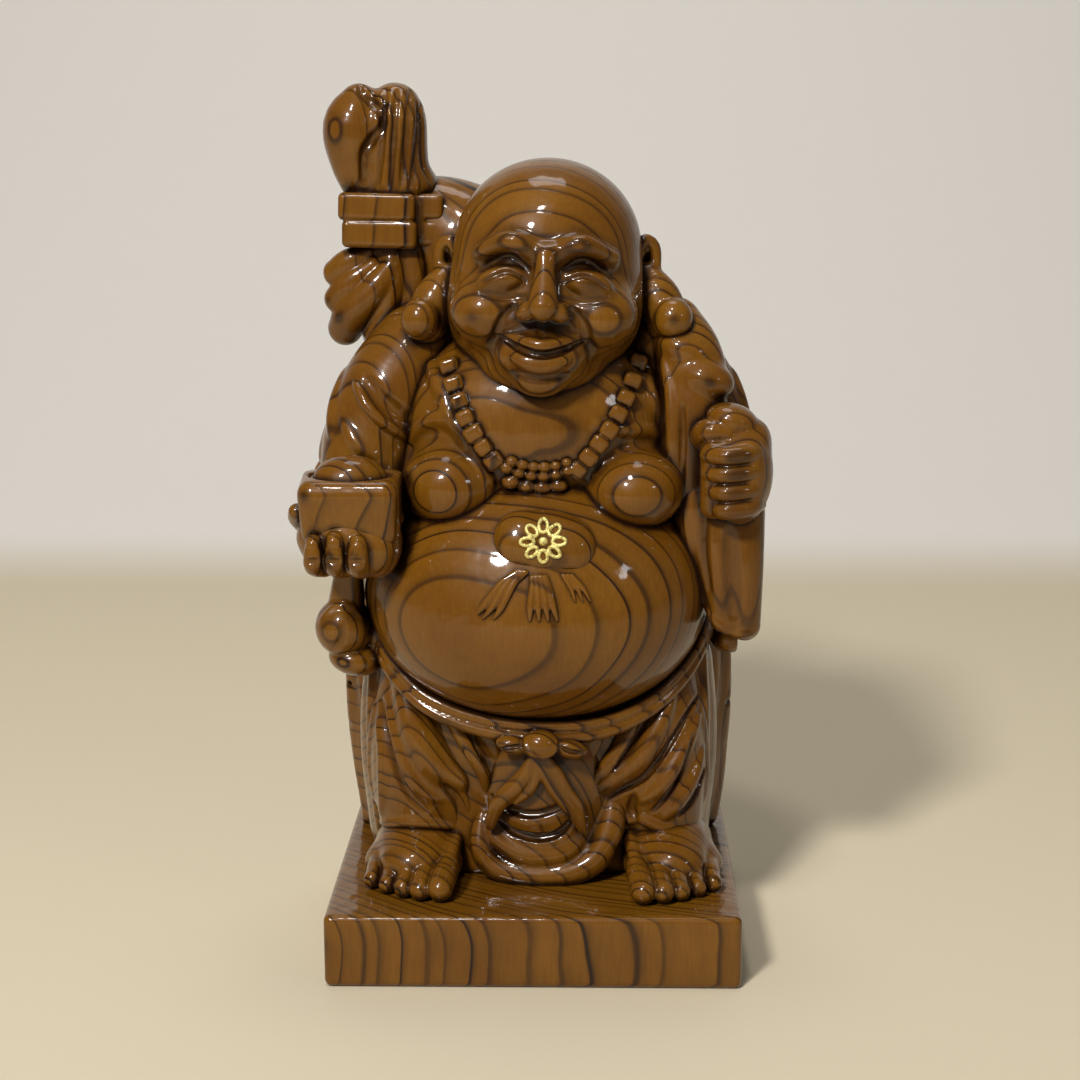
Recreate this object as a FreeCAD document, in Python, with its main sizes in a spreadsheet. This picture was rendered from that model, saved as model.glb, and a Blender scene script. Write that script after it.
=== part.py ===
"""Carved wooden statue of a standing laughing-monk figure on a square plinth, in millimetres.

The front of the figure faces -Y, +Z is up and the origin is the centre of the plinth's underside.
Left and right are the figure's own, so its right hand is on the -X side. Every form is plain and
closed, and is cut back by the forms that were carved before it, so that neighbours meet face to face.
"""
import FreeCAD, Part

import Sketcher
import math
import os
import re

from FreeCAD import Placement, Rotation, Vector

doc = FreeCAD.newDocument("statue")

# Driving dimensions: alias and millimetres. X is to the figure's left, Y to its back, Z up.
DIMENSIONS = [
    ("plinth_wide", 100), ("plinth_deep", 88), ("plinth_tall", 18),
    ("plinth_corner", 1.6), ("plinth_edge", 1.0),
    ("foot_long", 38), ("foot_wide", 22), ("foot_tall", 13), ("toe_wide", 4.4),
    ("right_foot_x", -29), ("right_foot_y", -15), ("right_foot_turn", -10),
    ("left_foot_x", 31), ("left_foot_y", -17), ("left_foot_turn", 22),
    ("belly_wide", 86), ("belly_deep", 66), ("belly_tall", 64),
    ("belly_x", 0.5), ("belly_y", -5), ("belly_z", 90),
    ("band_proud", 2.4), ("band_tall", 6), ("band_tilt", 22), ("band_z", 75), ("band_end_y", 4),
    ("chest_wide", 66), ("chest_deep", 46), ("chest_tall", 50),
    ("chest_x", 0), ("chest_y", -2), ("chest_z", 131),
    ("breast_wide", 21), ("breast_x", 22), ("breast_y", -16), ("breast_z", 119),
    ("head_wide", 47), ("head_deep", 50), ("head_tall", 55.5), ("head_x", 3), ("head_y", -6),
    ("head_top", 195), ("neck_wide", 30),
    ("ear_wide", 5.4), ("ear_deep", 12), ("ear_tall", 21), ("ear_z", 166),
    ("lobe_wide", 11.5), ("lobe_y", -8), ("lobe_z", 156.5),
    ("bead_wide", 4.3), ("bead_pitch", 4.6),
    ("pendant_wide", 23), ("pendant_tall", 17), ("pendant_thick", 3.2), ("pendant_x", 2.5),
    ("pendant_z", 106), ("emblem_wide", 12), ("tassel_long", 11), ("tassel_wide", 2.6),
    ("robe_wide", 94), ("robe_deep", 54), ("robe_tall", 94), ("robe_y", 8), ("robe_z", 112),
    ("skirt_wide", 91), ("skirt_deep", 56), ("skirt_tall", 180), ("skirt_y", 8), ("skirt_z", 52),
    ("skirt_top_z", 80),
    ("leg_wide", 29), ("leg_deep", 33), ("leg_tall", 66), ("leg_hem_z", 27),
    ("right_leg_x", -26), ("left_leg_x", 27), ("leg_y", -6), ("leg_z", 51),
    ("tail_wide", 100), ("tail_deep", 28), ("tail_tall", 190), ("tail_y", 26), ("tail_z", 54),
    ("tail_top_z", 96),
    ("apron_wide", 35), ("apron_deep", 20), ("apron_tall", 60), ("apron_x", 3), ("apron_y", -13),
    ("apron_z", 34),
    ("knot_wide", 9), ("knot_x", 2), ("knot_y", -28), ("knot_z", 56), ("sash_wide", 6),
    ("arm_wide", 26), ("forearm_wide", 18), ("arm_x", 36), ("arm_z", 146),
    ("elbow_x", 43), ("elbow_y", -3), ("elbow_z", 121),
    ("hand_wide", 24), ("hand_deep", 19), ("hand_tall", 13), ("hand_x", -43.5), ("hand_y", -25),
    ("hand_z", 104), ("finger_wide", 5.4),
    ("ingot_wide", 25), ("ingot_deep", 19), ("ingot_foot_z", 106), ("ingot_rim_z", 121.5),
    ("ingot_mound", 6),
    ("fist_wide", 17), ("fist_deep", 20), ("fist_tall", 26), ("fist_round", 6),
    ("fist_x", 47.5), ("fist_y", -17), ("fist_z", 121.5),
    ("cuff_ball_wide", 17), ("cuff_x", -47), ("cuff_y", -10), ("cuff_z", 80.5),
    ("drape_wide", 17), ("drape_deep", 12), ("drape_tall", 44), ("drape_x", 48), ("drape_y", -15),
    ("drape_z", 97), ("strap_wide", 18),
    ("sack_wide", 53), ("sack_long", 68), ("sack_x", 10), ("sack_y", 17), ("sack_z", 126),
    ("sack_lean", 28),
    ("gather_wide", 18), ("gather_tall", 30), ("gather_x", -44), ("gather_z", 160),
    ("throat_x", -36), ("throat_y", 13), ("throat_wide", 17), ("throat_foot_z", 150),
    ("tie_wide", 24), ("tie_thick", 6), ("tie_z", 177.7), ("tie_pitch", 5.6),
    ("mouth_wide", 22), ("mouth_deep", 17), ("mouth_foot_z", 186), ("mouth_x", -38.5),
    ("mouth_top_z", 213),
]

# How many of each thing that repeats.
TOES, FINGERS, PETALS = 5, 4, 8

# Free lines and leans that no other size follows: points in millimetres, leans in degrees.
NECKLACE_LINE = [
    (-20, 146), (-17.5, 140), (-14, 131), (-8, 121.5), (2, 116.5), (11, 121.5), (19, 131), (23, 140),
]
TASSEL_PLACES = [(-7.5, 96, -14), (2.5, 93.5, 0), (12, 96, 14)]
STRAP_TOP, STRAP_FOOT = (38, -4, 150), (43, -13, 128)
CUFF_END_Z = 110
EAR_LEAN, DRAPE_LEAN = 10, -8

sheet = doc.addObject("Spreadsheet::Sheet", "dims")
for row, (alias, value) in enumerate(DIMENSIONS, start=1):
    sheet.set(f"A{row}", alias)
    sheet.set(f"B{row}", str(value))
    sheet.setAlias(f"B{row}", alias)
doc.recompute()

ALIASES = re.compile(r"\b(" + "|".join(alias for alias, _ in DIMENSIONS) + r")\b")


def size(alias):
    """The value of a cell of the sheet."""
    return float(sheet.get(alias))


def bind(item, **formulas):
    """Binds properties to formulas in the sheet's aliases; x, y and z are the item's place."""
    for name, formula in formulas.items():
        path = f"Placement.Base.{name}" if name in ("x", "y", "z") else name
        item.setExpression(path, ALIASES.sub(r"dims.\1", str(formula)))
    return item


def turned(item, axis, degrees):
    """Turns an item about an axis through its own centre."""
    item.Placement = Placement(item.Placement.Base, Rotation(Vector(*axis), degrees))
    return item


def ellipsoid(name, wide, deep, tall, *centre):
    """An ellipsoid of full width, depth and height, centred at x, y, z where they are given."""
    item = doc.addObject("Part::Ellipsoid", name)
    half = {"Radius2": wide, "Radius3": deep, "Radius1": tall}
    bind(item, **{key: f"({formula}) / 2" for key, formula in half.items()})
    return bind(item, **dict(zip("xyz", centre)))


def ball(name, wide, x, y, z):
    """A sphere of full width, centred at x, y, z."""
    item = doc.addObject("Part::Sphere", name)
    return bind(item, Radius=f"({wide}) / 2", x=x, y=y, z=z)


def rod(name, wide, start, end):
    """A cylinder of full width from one point to another."""
    item = doc.addObject("Part::Cylinder", name)
    bind(item, Radius=f"({wide}) / 2")
    item.Height = (end - start).Length
    item.Placement = Placement(start, Rotation(Vector(0, 0, 1), end - start))
    return item


def limb(name, wide, start, end):
    """A cylinder of full width from one point to another, with a ball at each end."""
    ends = [ball(f"{name}_end{k}", wide, *point) for k, point in enumerate((start, end))]
    return joined(name, [rod(f"{name}_rod", wide, Vector(*start), Vector(*end)), *ends])


def block(name, wide, deep, tall, x, y, z):
    """A box of full width, depth and height, centred at x and y and standing on z."""
    item = doc.addObject("Part::Box", name)
    bind(item, Length=wide, Width=deep, Height=tall)
    return bind(item, x=f"{x} - ({wide}) / 2", y=f"{y} - ({deep}) / 2", z=z)


def joined(name, items):
    """One solid of several that overlap."""
    item = doc.addObject("Part::MultiFuse", name)
    item.Shapes = items
    return item


def shared(name, first, second):
    """What two items have in common."""
    item = doc.addObject("Part::Common", name)
    item.Base, item.Tool = first, second
    return item


def cut_by(item, tool):
    """An item with a tool taken away from it."""
    cut = doc.addObject("Part::Cut", f"{item.Name}_less_{tool.Name}")
    cut.Base, cut.Tool = item, tool
    doc.recompute()
    return cut


def body_plane(body, role):
    """One of a body's own origin planes."""
    return next(f for f in body.Origin.OriginFeatures if f.Role == role)


def ellipse_sketch(body, name, wide, deep, scale, x, y, z):
    """A horizontal ellipse in a sketch at height z: scale times the cells wide and deep."""
    sketch = body.newObject("Sketcher::SketchObject", name)
    sketch.AttachmentSupport = (body_plane(body, "XY_Plane"), "")
    sketch.MapMode = "FlatFace"
    major, minor = scale * size(wide) / 2, scale * size(deep) / 2
    sketch.addGeometry(Part.Ellipse(Vector(major, 0), Vector(0, minor), Vector(0, 0)), False)
    sketch.exposeInternalGeometry(0)
    sketch.addConstraint(Sketcher.Constraint("Coincident", 0, 3, -1, 1))
    sketch.addConstraint(Sketcher.Constraint("Horizontal", 1))
    for line, alias in ((1, wide), (2, deep)):
        span = sketch.addConstraint(Sketcher.Constraint("Distance", line, scale * size(alias)))
        bind(sketch, **{f"Constraints[{span}]": f"{scale} * {alias}"})
    for axis, formula in (("x", x), ("y", y), ("z", z)):
        bind(sketch, **{f"AttachmentOffset.Base.{axis}": formula})
    return sketch


def lofted(name, sections):
    """A body lofted up through ellipses, each given as wide, deep, scale, x, y and z."""
    body = doc.addObject("PartDesign::Body", name)
    sketches = [ellipse_sketch(body, f"{name}_section{k}", *s) for k, s in enumerate(sections)]
    doc.recompute()
    loft = body.newObject("PartDesign::AdditiveLoft", name + "_loft")
    loft.Profile = sketches[0]
    loft.Sections = sketches[1:]
    return body


# --- Plinth -------------------------------------------------------------------------------------

def make_plinth():
    """The block under the figure, padded from a rectangle and eased along every edge."""
    body = doc.addObject("PartDesign::Body", "plinth_body")
    sketch = body.newObject("Sketcher::SketchObject", "plinth_outline")
    sketch.AttachmentSupport = (body_plane(body, "XY_Plane"), "")
    sketch.MapMode = "FlatFace"
    half_wide, half_deep = size("plinth_wide") / 2, size("plinth_deep") / 2
    corners = [Vector(sx * half_wide, sy * half_deep) for sx, sy in ((-1, -1), (1, -1), (1, 1), (-1, 1))]
    for k, corner in enumerate(corners):
        sketch.addGeometry(Part.LineSegment(corner, corners[(k + 1) % 4]), False)
    for k in range(4):
        sketch.addConstraint(Sketcher.Constraint("Coincident", k, 2, (k + 1) % 4, 1))
    for k, direction in enumerate(("Horizontal", "Vertical", "Horizontal", "Vertical")):
        sketch.addConstraint(Sketcher.Constraint(direction, k))
    sketch.addConstraint(Sketcher.Constraint("Symmetric", 0, 1, 1, 2, -1, 1))
    wide = sketch.addConstraint(Sketcher.Constraint("DistanceX", 0, 1, 0, 2, 2 * half_wide))
    deep = sketch.addConstraint(Sketcher.Constraint("DistanceY", 1, 1, 1, 2, 2 * half_deep))
    bind(sketch, **{f"Constraints[{wide}]": "plinth_wide", f"Constraints[{deep}]": "plinth_deep"})
    pad = body.newObject("PartDesign::Pad", "plinth_pad")
    pad.Profile = sketch
    bind(pad, Length="plinth_tall")
    doc.recompute()
    upright = [f"Edge{k}" for k, e in enumerate(pad.Shape.Edges, 1)
               if abs(e.tangentAt(e.FirstParameter).z) > 0.9]
    corner = body.newObject("PartDesign::Fillet", "plinth_corners")
    corner.Base = (pad, upright)
    bind(corner, Radius="plinth_corner")
    doc.recompute()
    rims = [f"Edge{k}" for k, e in enumerate(corner.Shape.Edges, 1)
            if abs(e.BoundBox.ZMax - e.BoundBox.ZMin) < 1e-6]
    edge = body.newObject("PartDesign::Fillet", "plinth_rims")
    edge.Base = (corner, rims)
    bind(edge, Radius="plinth_edge")
    body.Tip = edge
    return body


# --- Flesh --------------------------------------------------------------------------------------

def make_foot(name, side, inner):
    """A bare foot: a low domed instep with five toes along its front, the big toe on the inner side."""
    x, y, turn = f"{side}_foot_x", f"{side}_foot_y", size(f"{side}_foot_turn")
    instep = ellipsoid(f"{name}_instep", "foot_wide", "foot_long", "2 * foot_tall", x, y, "plinth_tall")
    pieces = [turned(instep, (0, 0, 1), turn)]
    for k in range(TOES):
        across = inner * (0.34 - 0.18 * k) * size("foot_wide")
        ahead = -(0.42 - 0.05 * k) * size("foot_long")
        place = Rotation(Vector(0, 0, 1), turn).multVec(Vector(across, ahead))
        wide = "1.5 * toe_wide" if k == 0 else "toe_wide"
        toe = ellipsoid(f"{name}_toe{k}", wide, f"2 * ({wide})", f"1.3 * ({wide})",
                        f"{x} + {place.x}", f"{y} + {place.y}", f"plinth_tall + 0.45 * ({wide})")
        pieces.append(turned(toe, (0, 0, 1), turn))
    return joined(name, pieces)


def make_belly():
    """The great round belly."""
    return ellipsoid("belly_form", "belly_wide", "belly_deep", "belly_tall", "belly_x", "belly_y", "belly_z")


def make_chest():
    """The bare upper trunk, with its two full breasts."""
    trunk = ellipsoid("trunk", "chest_wide", "chest_deep", "chest_tall", "chest_x", "chest_y", "chest_z")
    breasts = [ball(f"breast{k}", "breast_wide", f"2 + {side} * breast_x", "breast_y", "breast_z")
               for k, side in enumerate((-1, 1))]
    return joined("chest_form", [trunk, *breasts])


def make_head():
    """A bald head: cranium, full cheeks and jaw, a plain nose, and a short thick neck."""
    cranium = ellipsoid("cranium", "0.96 * head_wide", "0.96 * head_deep", "0.82 * head_tall",
                        "head_x + 0.5", "head_y + 2", "head_top - 0.41 * head_tall")
    cheeks = ellipsoid("cheeks", "head_wide", "0.88 * head_deep", "0.74 * head_tall",
                       "head_x", "head_y - 2", "head_top - 0.63 * head_tall")
    nose = ellipsoid("nose", "0.15 * head_wide", "0.2 * head_deep", "0.24 * head_tall",
                     "head_x", "head_y - 0.46 * head_deep", "head_top - 0.58 * head_tall")
    neck = doc.addObject("Part::Cylinder", "neck")
    bind(neck, Radius="neck_wide / 2", Height="0.5 * head_tall", x="head_x", y="head_y + 6",
         z="head_top - 1.15 * head_tall")
    return joined("head_form", [cranium, cheeks, nose, neck])


def make_ear(name, side):
    """A long ear: a flat shell on the side of the head and a round lobe that reaches the shoulder."""
    x = f"head_x + {side} * 0.49 * head_wide"
    shell = ellipsoid(f"{name}_shell", "ear_wide", "ear_deep", "ear_tall", x, "head_y + 5", "ear_z")
    turned(shell, (0, 1, 0), side * EAR_LEAN)
    lobe = ball(f"{name}_lobe", "lobe_wide", f"{x} + {side} * 7", "lobe_y", "lobe_z")
    top = Vector(size("head_x") + side * 0.49 * size("head_wide"), size("head_y") + 4, size("ear_z") - 4)
    foot = Vector(top.x + side * 7, size("lobe_y"), size("lobe_z"))
    link = rod(f"{name}_link", "0.55 * lobe_wide", top, foot)
    return joined(name, [shell, link, lobe])


def make_right_hand():
    """The open right hand: a palm under the ingot, four fingers curling up in front and a thumb."""
    palm = ellipsoid("palm", "hand_wide", "hand_deep", "hand_tall", "hand_x", "hand_y", "hand_z")
    x, y, z, wide = size("hand_x"), size("hand_y"), size("hand_z"), size("hand_wide")
    pieces = [palm]
    for k in range(FINGERS):
        across = x + (k - 1.5) * 0.22 * wide
        foot, tip = (across, y - 5, z - 2), (across, y - 9.5, z + 7 - abs(k - 1.5))
        pieces.append(limb(f"finger{k}", "finger_wide", foot, tip))
    pieces.append(limb("thumb", "finger_wide", (x - 9, y + 1, z), (x - 11, y - 2, z + 12)))
    return joined("right_hand_form", pieces)


def make_left_hand():
    """The closed left hand that grips the cloth, with four fingers one above the other."""
    core = block("fist_block", "fist_wide", "fist_deep", "fist_tall",
                 "fist_x", "fist_y", "fist_z - fist_tall / 2")
    fist = doc.addObject("Part::Fillet", "fist")
    fist.Base = core
    fist.Edges = [(k, size("fist_round"), size("fist_round")) for k in range(1, 13)]
    grips = []
    for k in range(FINGERS):
        start = Vector(size("fist_x"), size("fist_y"), size("fist_z")) + Vector(-7, -8, (k - 1.9) * 4.4)
        grips.append(rod(f"grip{k}", "finger_wide", start, start + Vector(11.5, -0.5, 0.3)))
    return joined("left_hand_form", [fist, *grips])


# --- Things carried and worn --------------------------------------------------------------------

def make_ingot():
    """A boat-shaped ingot: a flared cup with a round mound standing in it."""
    cup = lofted("ingot_cup", [
        ("ingot_wide", "ingot_deep", 0.5, "hand_x", "hand_y", "ingot_foot_z"),
        ("ingot_wide", "ingot_deep", 0.8, "hand_x", "hand_y", "0.5 * (ingot_foot_z + ingot_rim_z)"),
        ("ingot_wide", "ingot_deep", 1, "hand_x", "hand_y", "ingot_rim_z"),
    ])
    mound = ellipsoid("ingot_mound_form", "0.64 * ingot_wide", "0.64 * ingot_deep", "2 * ingot_mound",
                      "hand_x", "hand_y", "ingot_rim_z")
    return joined("ingot_form", [cup, mound])


def trunk_form(form):
    """The centre and the half sizes of the belly or the chest."""
    centre = Vector(size(f"{form}_x"), size(f"{form}_y"), size(f"{form}_z"))
    return centre, Vector(*(size(f"{form}_{side}") / 2 for side in ("wide", "deep", "tall")))


def front_of(form, x, z):
    """How far forward the belly or the chest reaches at x, z; beside it, its middle."""
    centre, half = trunk_form(form)
    left = 1 - ((x - centre.x) / half.x) ** 2 - ((z - centre.z) / half.z) ** 2
    return centre.y - half.y * math.sqrt(max(left, 0))


def skin(x, z):
    """The point of the bare front of the figure at x, z."""
    return Vector(x, min(front_of("belly", x, z), front_of("chest", x, z)), z)


def outwards(spot):
    """The direction straight out of the bare front of the figure at a point on it."""
    form = "belly" if front_of("belly", spot.x, spot.z) < front_of("chest", spot.x, spot.z) else "chest"
    centre, half = trunk_form(form)
    away = spot - centre
    return Vector(away.x / half.x ** 2, away.y / half.y ** 2, away.z / half.z ** 2).normalize()


def on_skin(item, x, z, spin=0, raised=0):
    """Lays an item flat on the bare front of the figure at x, z: its +Z outwards and its +Y up."""
    spot = skin(x, z)
    normal = outwards(spot)
    flat = Rotation(Vector(0, 0, 1), normal) * Rotation(Vector(0, 0, 1), spin)
    item.Placement = Placement(spot + normal * raised, flat)
    return item


def make_beads():
    """A necklace of separate beads that lie on the chest, in a V that closes over the belly."""
    corners = NECKLACE_LINE
    line = Part.BSplineCurve()
    line.interpolate([skin(x, z) for x, z in corners])
    beads = []
    for k, place in enumerate(line.toShape().discretize(Distance=size("bead_pitch"))):
        bead = doc.addObject("Part::Sphere", f"bead{k}")
        bind(bead, Radius="bead_wide / 2")
        beads.append(on_skin(bead, place.x, place.z, raised=0.2 * size("bead_wide")))
    group = doc.addObject("Part::Compound", "beads")
    group.Links = beads
    return group


def make_pendant():
    """The flat oval medallion that hangs at the top of the belly."""
    disc = ellipsoid("pendant_form", "pendant_wide", "pendant_tall", "2 * pendant_thick")
    return on_skin(disc, size("pendant_x"), size("pendant_z"))


def make_emblem():
    """A gilt flower of eight petals round a boss, on the face of the medallion."""
    boss = doc.addObject("Part::Sphere", "emblem_boss")
    bind(boss, Radius="0.14 * emblem_wide")
    pieces = [boss]
    for k in range(PETALS):
        petal = ellipsoid(f"emblem_petal{k}", "0.16 * emblem_wide", "0.36 * emblem_wide",
                          "0.16 * emblem_wide")
        turn = Rotation(Vector(0, 0, 1), 45 * k)
        petal.Placement = Placement(turn.multVec(Vector(0, 0.3 * size("emblem_wide"), 0)), turn)
        pieces.append(petal)
    flower = joined("emblem_form", pieces)
    return on_skin(flower, size("pendant_x"), size("pendant_z"), raised=size("pendant_thick"))


def make_tassels():
    """Three carved tassels that hang from the medallion down the belly."""
    tassels = []
    for k, (x, z, lean) in enumerate(TASSEL_PLACES):
        tassel = ellipsoid(f"tassel{k}", "tassel_wide", "tassel_long", "tassel_wide")
        tassels.append(on_skin(tassel, x, z, spin=lean))
    return joined("tassels_form", tassels)


# --- Clothes ------------------------------------------------------------------------------------

def make_skirt():
    """The lower robe, from the plinth up to the hips."""
    cloth = ellipsoid("skirt_cloth", "skirt_wide", "skirt_deep", "skirt_tall", 0.5, "skirt_y", "skirt_z")
    space = block("skirt_space", "2 * plinth_wide", "2 * plinth_deep", "skirt_top_z - plinth_tall",
                  0, 0, "plinth_tall")
    return shared("skirt_form", cloth, space)


def make_leg(name, x):
    """One wide trouser leg, cut off level at its hem above the foot."""
    cloth = ellipsoid(f"{name}_cloth", "leg_wide", "leg_deep", "leg_tall", x, "leg_y", "leg_z")
    space = block(f"{name}_space", "2 * plinth_wide", "2 * plinth_deep", "leg_tall", 0, 0, "leg_hem_z")
    return shared(name, cloth, space)


def make_apron():
    """The cloth of the sash that hangs in front to the plinth, between the feet."""
    swag = ellipsoid("swag", "apron_wide", "apron_deep", "apron_tall", "apron_x", "apron_y", "apron_z")
    space = block("swag_space", "plinth_wide", "plinth_deep", "apron_tall", 0, 0, "plinth_tall")
    return shared("apron_form", swag, space)


def make_waistband():
    """The rolled edge of the robe under the belly: a tilted slice of a form a little larger than it."""
    outer = ellipsoid("band_outer", "belly_wide + 2 * band_proud", "belly_deep + 2 * band_proud",
                      "belly_tall + 2 * band_proud", "belly_x", "belly_y", "belly_z")
    slab = doc.addObject("Part::Box", "band_slab")
    bind(slab, Length="2 * belly_wide", Width="belly_deep", Height="band_tall")
    tilt = Rotation(Vector(1, 0, 0), size("band_tilt"))
    back = Vector(size("belly_wide"), size("belly_deep"), size("band_tall") / 2)
    slab.Placement = Placement(Vector(0, size("band_end_y"), size("band_z")) - tilt.multVec(back), tilt)
    return shared("band_form", outer, slab)


def make_knot():
    """The knot of the sash under the waistband, wider than tall for the loops at its sides."""
    return ellipsoid("knot_form", "2.2 * knot_wide", "knot_wide", "knot_wide", "knot_x", "knot_y", "knot_z")


def make_sash_tails():
    """The two ends of the sash, which part below the knot."""
    y, z = size("knot_y"), size("knot_z")
    right = limb("tail_right", "sash_wide", (0, y + 2, z - 3), (-9, y + 4, z - 21))
    left = limb("tail_left", "sash_wide", (4, y + 2, z - 3), (12, y + 4, z - 24))
    return joined("sash_form", [right, left])


def make_sleeve(name, side):
    """The upper sleeve, from the shoulder to the elbow."""
    shoulder = (side * size("arm_x"), 0, size("arm_z"))
    elbow = (side * size("elbow_x"), size("elbow_y"), size("elbow_z"))
    return limb(name, "arm_wide", shoulder, elbow)


def make_right_cuff():
    """The right lower sleeve, from the elbow to the wrist."""
    elbow = (-size("elbow_x"), size("elbow_y"), size("elbow_z") - 3)
    return limb("right_cuff_form", "forearm_wide", elbow, (size("hand_x") - 1, size("hand_y") + 5, CUFF_END_Z))


def make_hanging_sleeve():
    """The end of the right sleeve, which hangs below the elbow in a rounded roll with a lobe under it."""
    x, y, z = size("cuff_x"), size("cuff_y"), size("cuff_z")
    roll = ball("cuff_roll", "cuff_ball_wide", "cuff_x", "cuff_y", "cuff_z")
    lobe = ball("cuff_lobe", "0.75 * cuff_ball_wide", "cuff_x + 1", "cuff_y + 1", "cuff_z - 7")
    fall = limb("cuff_fall", "0.6 * cuff_ball_wide", (x + 2, y + 4, z + 24), (x + 1, y, z))
    return joined("hanging_form", [roll, lobe, fall])


def make_strap():
    """The bunched cloth that comes over the left shoulder and down into the fist."""
    return limb("strap_form", "strap_wide", STRAP_TOP, STRAP_FOOT)


def make_drape():
    """The loose end of that cloth, which hangs below the fist."""
    drape = ellipsoid("drape_form", "drape_wide", "drape_deep", "drape_tall", "drape_x", "drape_y", "drape_z")
    return turned(drape, (0, 1, 0), DRAPE_LEAN)


def make_robe():
    """The robe round the shoulders, sides and back."""
    return ellipsoid("robe_form", "robe_wide", "robe_deep", "robe_tall", 0, "robe_y", "robe_z")


def make_robe_tail():
    """The back of the robe, from the hips to the plinth."""
    cloth = ellipsoid("tail_cloth", "tail_wide", "tail_deep", "tail_tall", 0, "tail_y", "tail_z")
    space = block("tail_space", "2 * plinth_wide", "2 * plinth_deep", "tail_top_z - plinth_tall",
                  0, 0, "plinth_tall")
    return shared("robe_tail_form", cloth, space)


# --- Sack ---------------------------------------------------------------------------------------

def make_sack():
    """The full sack across the back, leaning over the right shoulder."""
    middle = Vector(size("sack_x"), size("sack_y"), size("sack_z"))
    up = Rotation(Vector(0, 1, 0), -size("sack_lean")).multVec(Vector(0, 0, size("sack_long") / 2))
    return limb("sack_form", "sack_wide", middle - up, middle + up)


def make_gather():
    """The gathered folds where the sack narrows over the shoulder."""
    folds = [ellipsoid(f"gather_fold{k}", "gather_wide", "gather_wide", "gather_tall - 6 * %d" % k,
                       f"gather_x + {4 * k}", f"throat_y - {2 * k}", f"gather_z + {7 * k}") for k in range(2)]
    throat = doc.addObject("Part::Cylinder", "throat")
    bind(throat, Radius="throat_wide / 2", Height="tie_z - throat_foot_z",
         x="throat_x", y="throat_y", z="throat_foot_z")
    return joined("gather_form", [*folds, throat])


def make_tie():
    """Two turns of cord round the sack's throat."""
    core = doc.addObject("Part::Cylinder", "tie_core")
    bind(core, Radius="(tie_wide - tie_thick) / 2", Height="mouth_foot_z - tie_z + 0.35 * tie_thick",
         x="throat_x", y="throat_y", z="tie_z - 0.35 * tie_thick")
    turns = []
    for k in range(2):
        turn = doc.addObject("Part::Torus", f"tie_turn{k}")
        turns.append(bind(turn, Radius1="(tie_wide - tie_thick) / 2", Radius2="tie_thick / 2",
                          x="throat_x", y="throat_y", z=f"tie_z + {k} * tie_pitch"))
    return joined("tie_form", [core, *turns])


def make_mouth():
    """The flared mouth of the sack above the cord."""
    return lofted("mouth_form", [
        ("mouth_wide", "mouth_deep", 0.8, "throat_x", "throat_y", "mouth_foot_z"),
        ("mouth_wide", "mouth_deep", 1.1, "mouth_x - 0.5", "throat_y",
         "0.45 * mouth_foot_z + 0.55 * mouth_top_z"),
        ("mouth_wide", "mouth_deep", 0.85, "mouth_x + 0.5", "throat_y", "mouth_top_z"),
    ])


# --- Assembly -----------------------------------------------------------------------------------

# In the order of carving: each form is cut back by all the forms above it that it runs into.
FORMS = {
    "plinth": make_plinth(),
    "belly": make_belly(),
    "chest": make_chest(),
    "head": make_head(),
    "right_foot": make_foot("right_foot_form", "right", 1),
    "left_foot": make_foot("left_foot_form", "left", -1),
    "pendant": make_pendant(),
    "gold_emblem": make_emblem(),
    "pendant_tassels": make_tassels(),
    "necklace": make_beads(),
    "right_ear": make_ear("right_ear_form", -1),
    "left_ear": make_ear("left_ear_form", 1),
    "waistband": make_waistband(),
    "ingot": make_ingot(),
    "right_hand": make_right_hand(),
    "left_hand": make_left_hand(),
    "right_cuff": make_right_cuff(),
    "hanging_sleeve": make_hanging_sleeve(),
    "shoulder_strap": make_strap(),
    "left_drape": make_drape(),
    "right_sleeve": make_sleeve("right_sleeve_form", -1),
    "left_sleeve": make_sleeve("left_sleeve_form", 1),
    "sash_knot": make_knot(),
    "sash_tails": make_sash_tails(),
    "skirt_apron": make_apron(),
    "right_trouser_leg": make_leg("right_leg_form", "right_leg_x"),
    "left_trouser_leg": make_leg("left_leg_form", "left_leg_x"),
    "sack_tie": make_tie(),
    "sack_mouth": make_mouth(),
    "sack_gather": make_gather(),
    "robe_body": make_robe(),
    "sack_body": make_sack(),
    "robe_tail": make_robe_tail(),
    "robe_skirt": make_skirt(),
}
doc.recompute()


def touches(first, second):
    """Whether two forms meet."""
    near = first.Shape.BoundBox.intersect(second.Shape.BoundBox)
    return near and first.Shape.distToShape(second.Shape)[0] < 1e-6


parts = {}
above = []
for node, form in FORMS.items():
    made = form
    for tool in reversed(above):
        if touches(made, tool):
            made = cut_by(made, tool)
    made.Label = node
    parts[node] = made
    above.append(form)

failed = [item.Name for item in doc.Objects if "Invalid" in item.State or "Error" in item.State]
failed += [node for node, item in parts.items() if item.Shape.isNull() or not item.Shape.isValid()]
if failed:
    raise RuntimeError("not made: " + ", ".join(failed))

os.makedirs("parts", exist_ok=True)
for node, item in parts.items():
    item.Shape.exportStep(f"parts/{node}.step")
    volumes = [round(solid.Volume, 1) for solid in item.Shape.Solids]
    print(node, len(volumes), volumes[:6])
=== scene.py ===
"""Carved and lacquered wooden statue of the laughing monk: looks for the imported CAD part.

Each carved form is shaped like clay, as a distance field in millimetres in the frame's own axes
(x to the viewer's right, y away, z up, with nought under the middle of the plinth), and then meshed.
"Right" and "left" in piece names are the statue's own.
"""

import math

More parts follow.
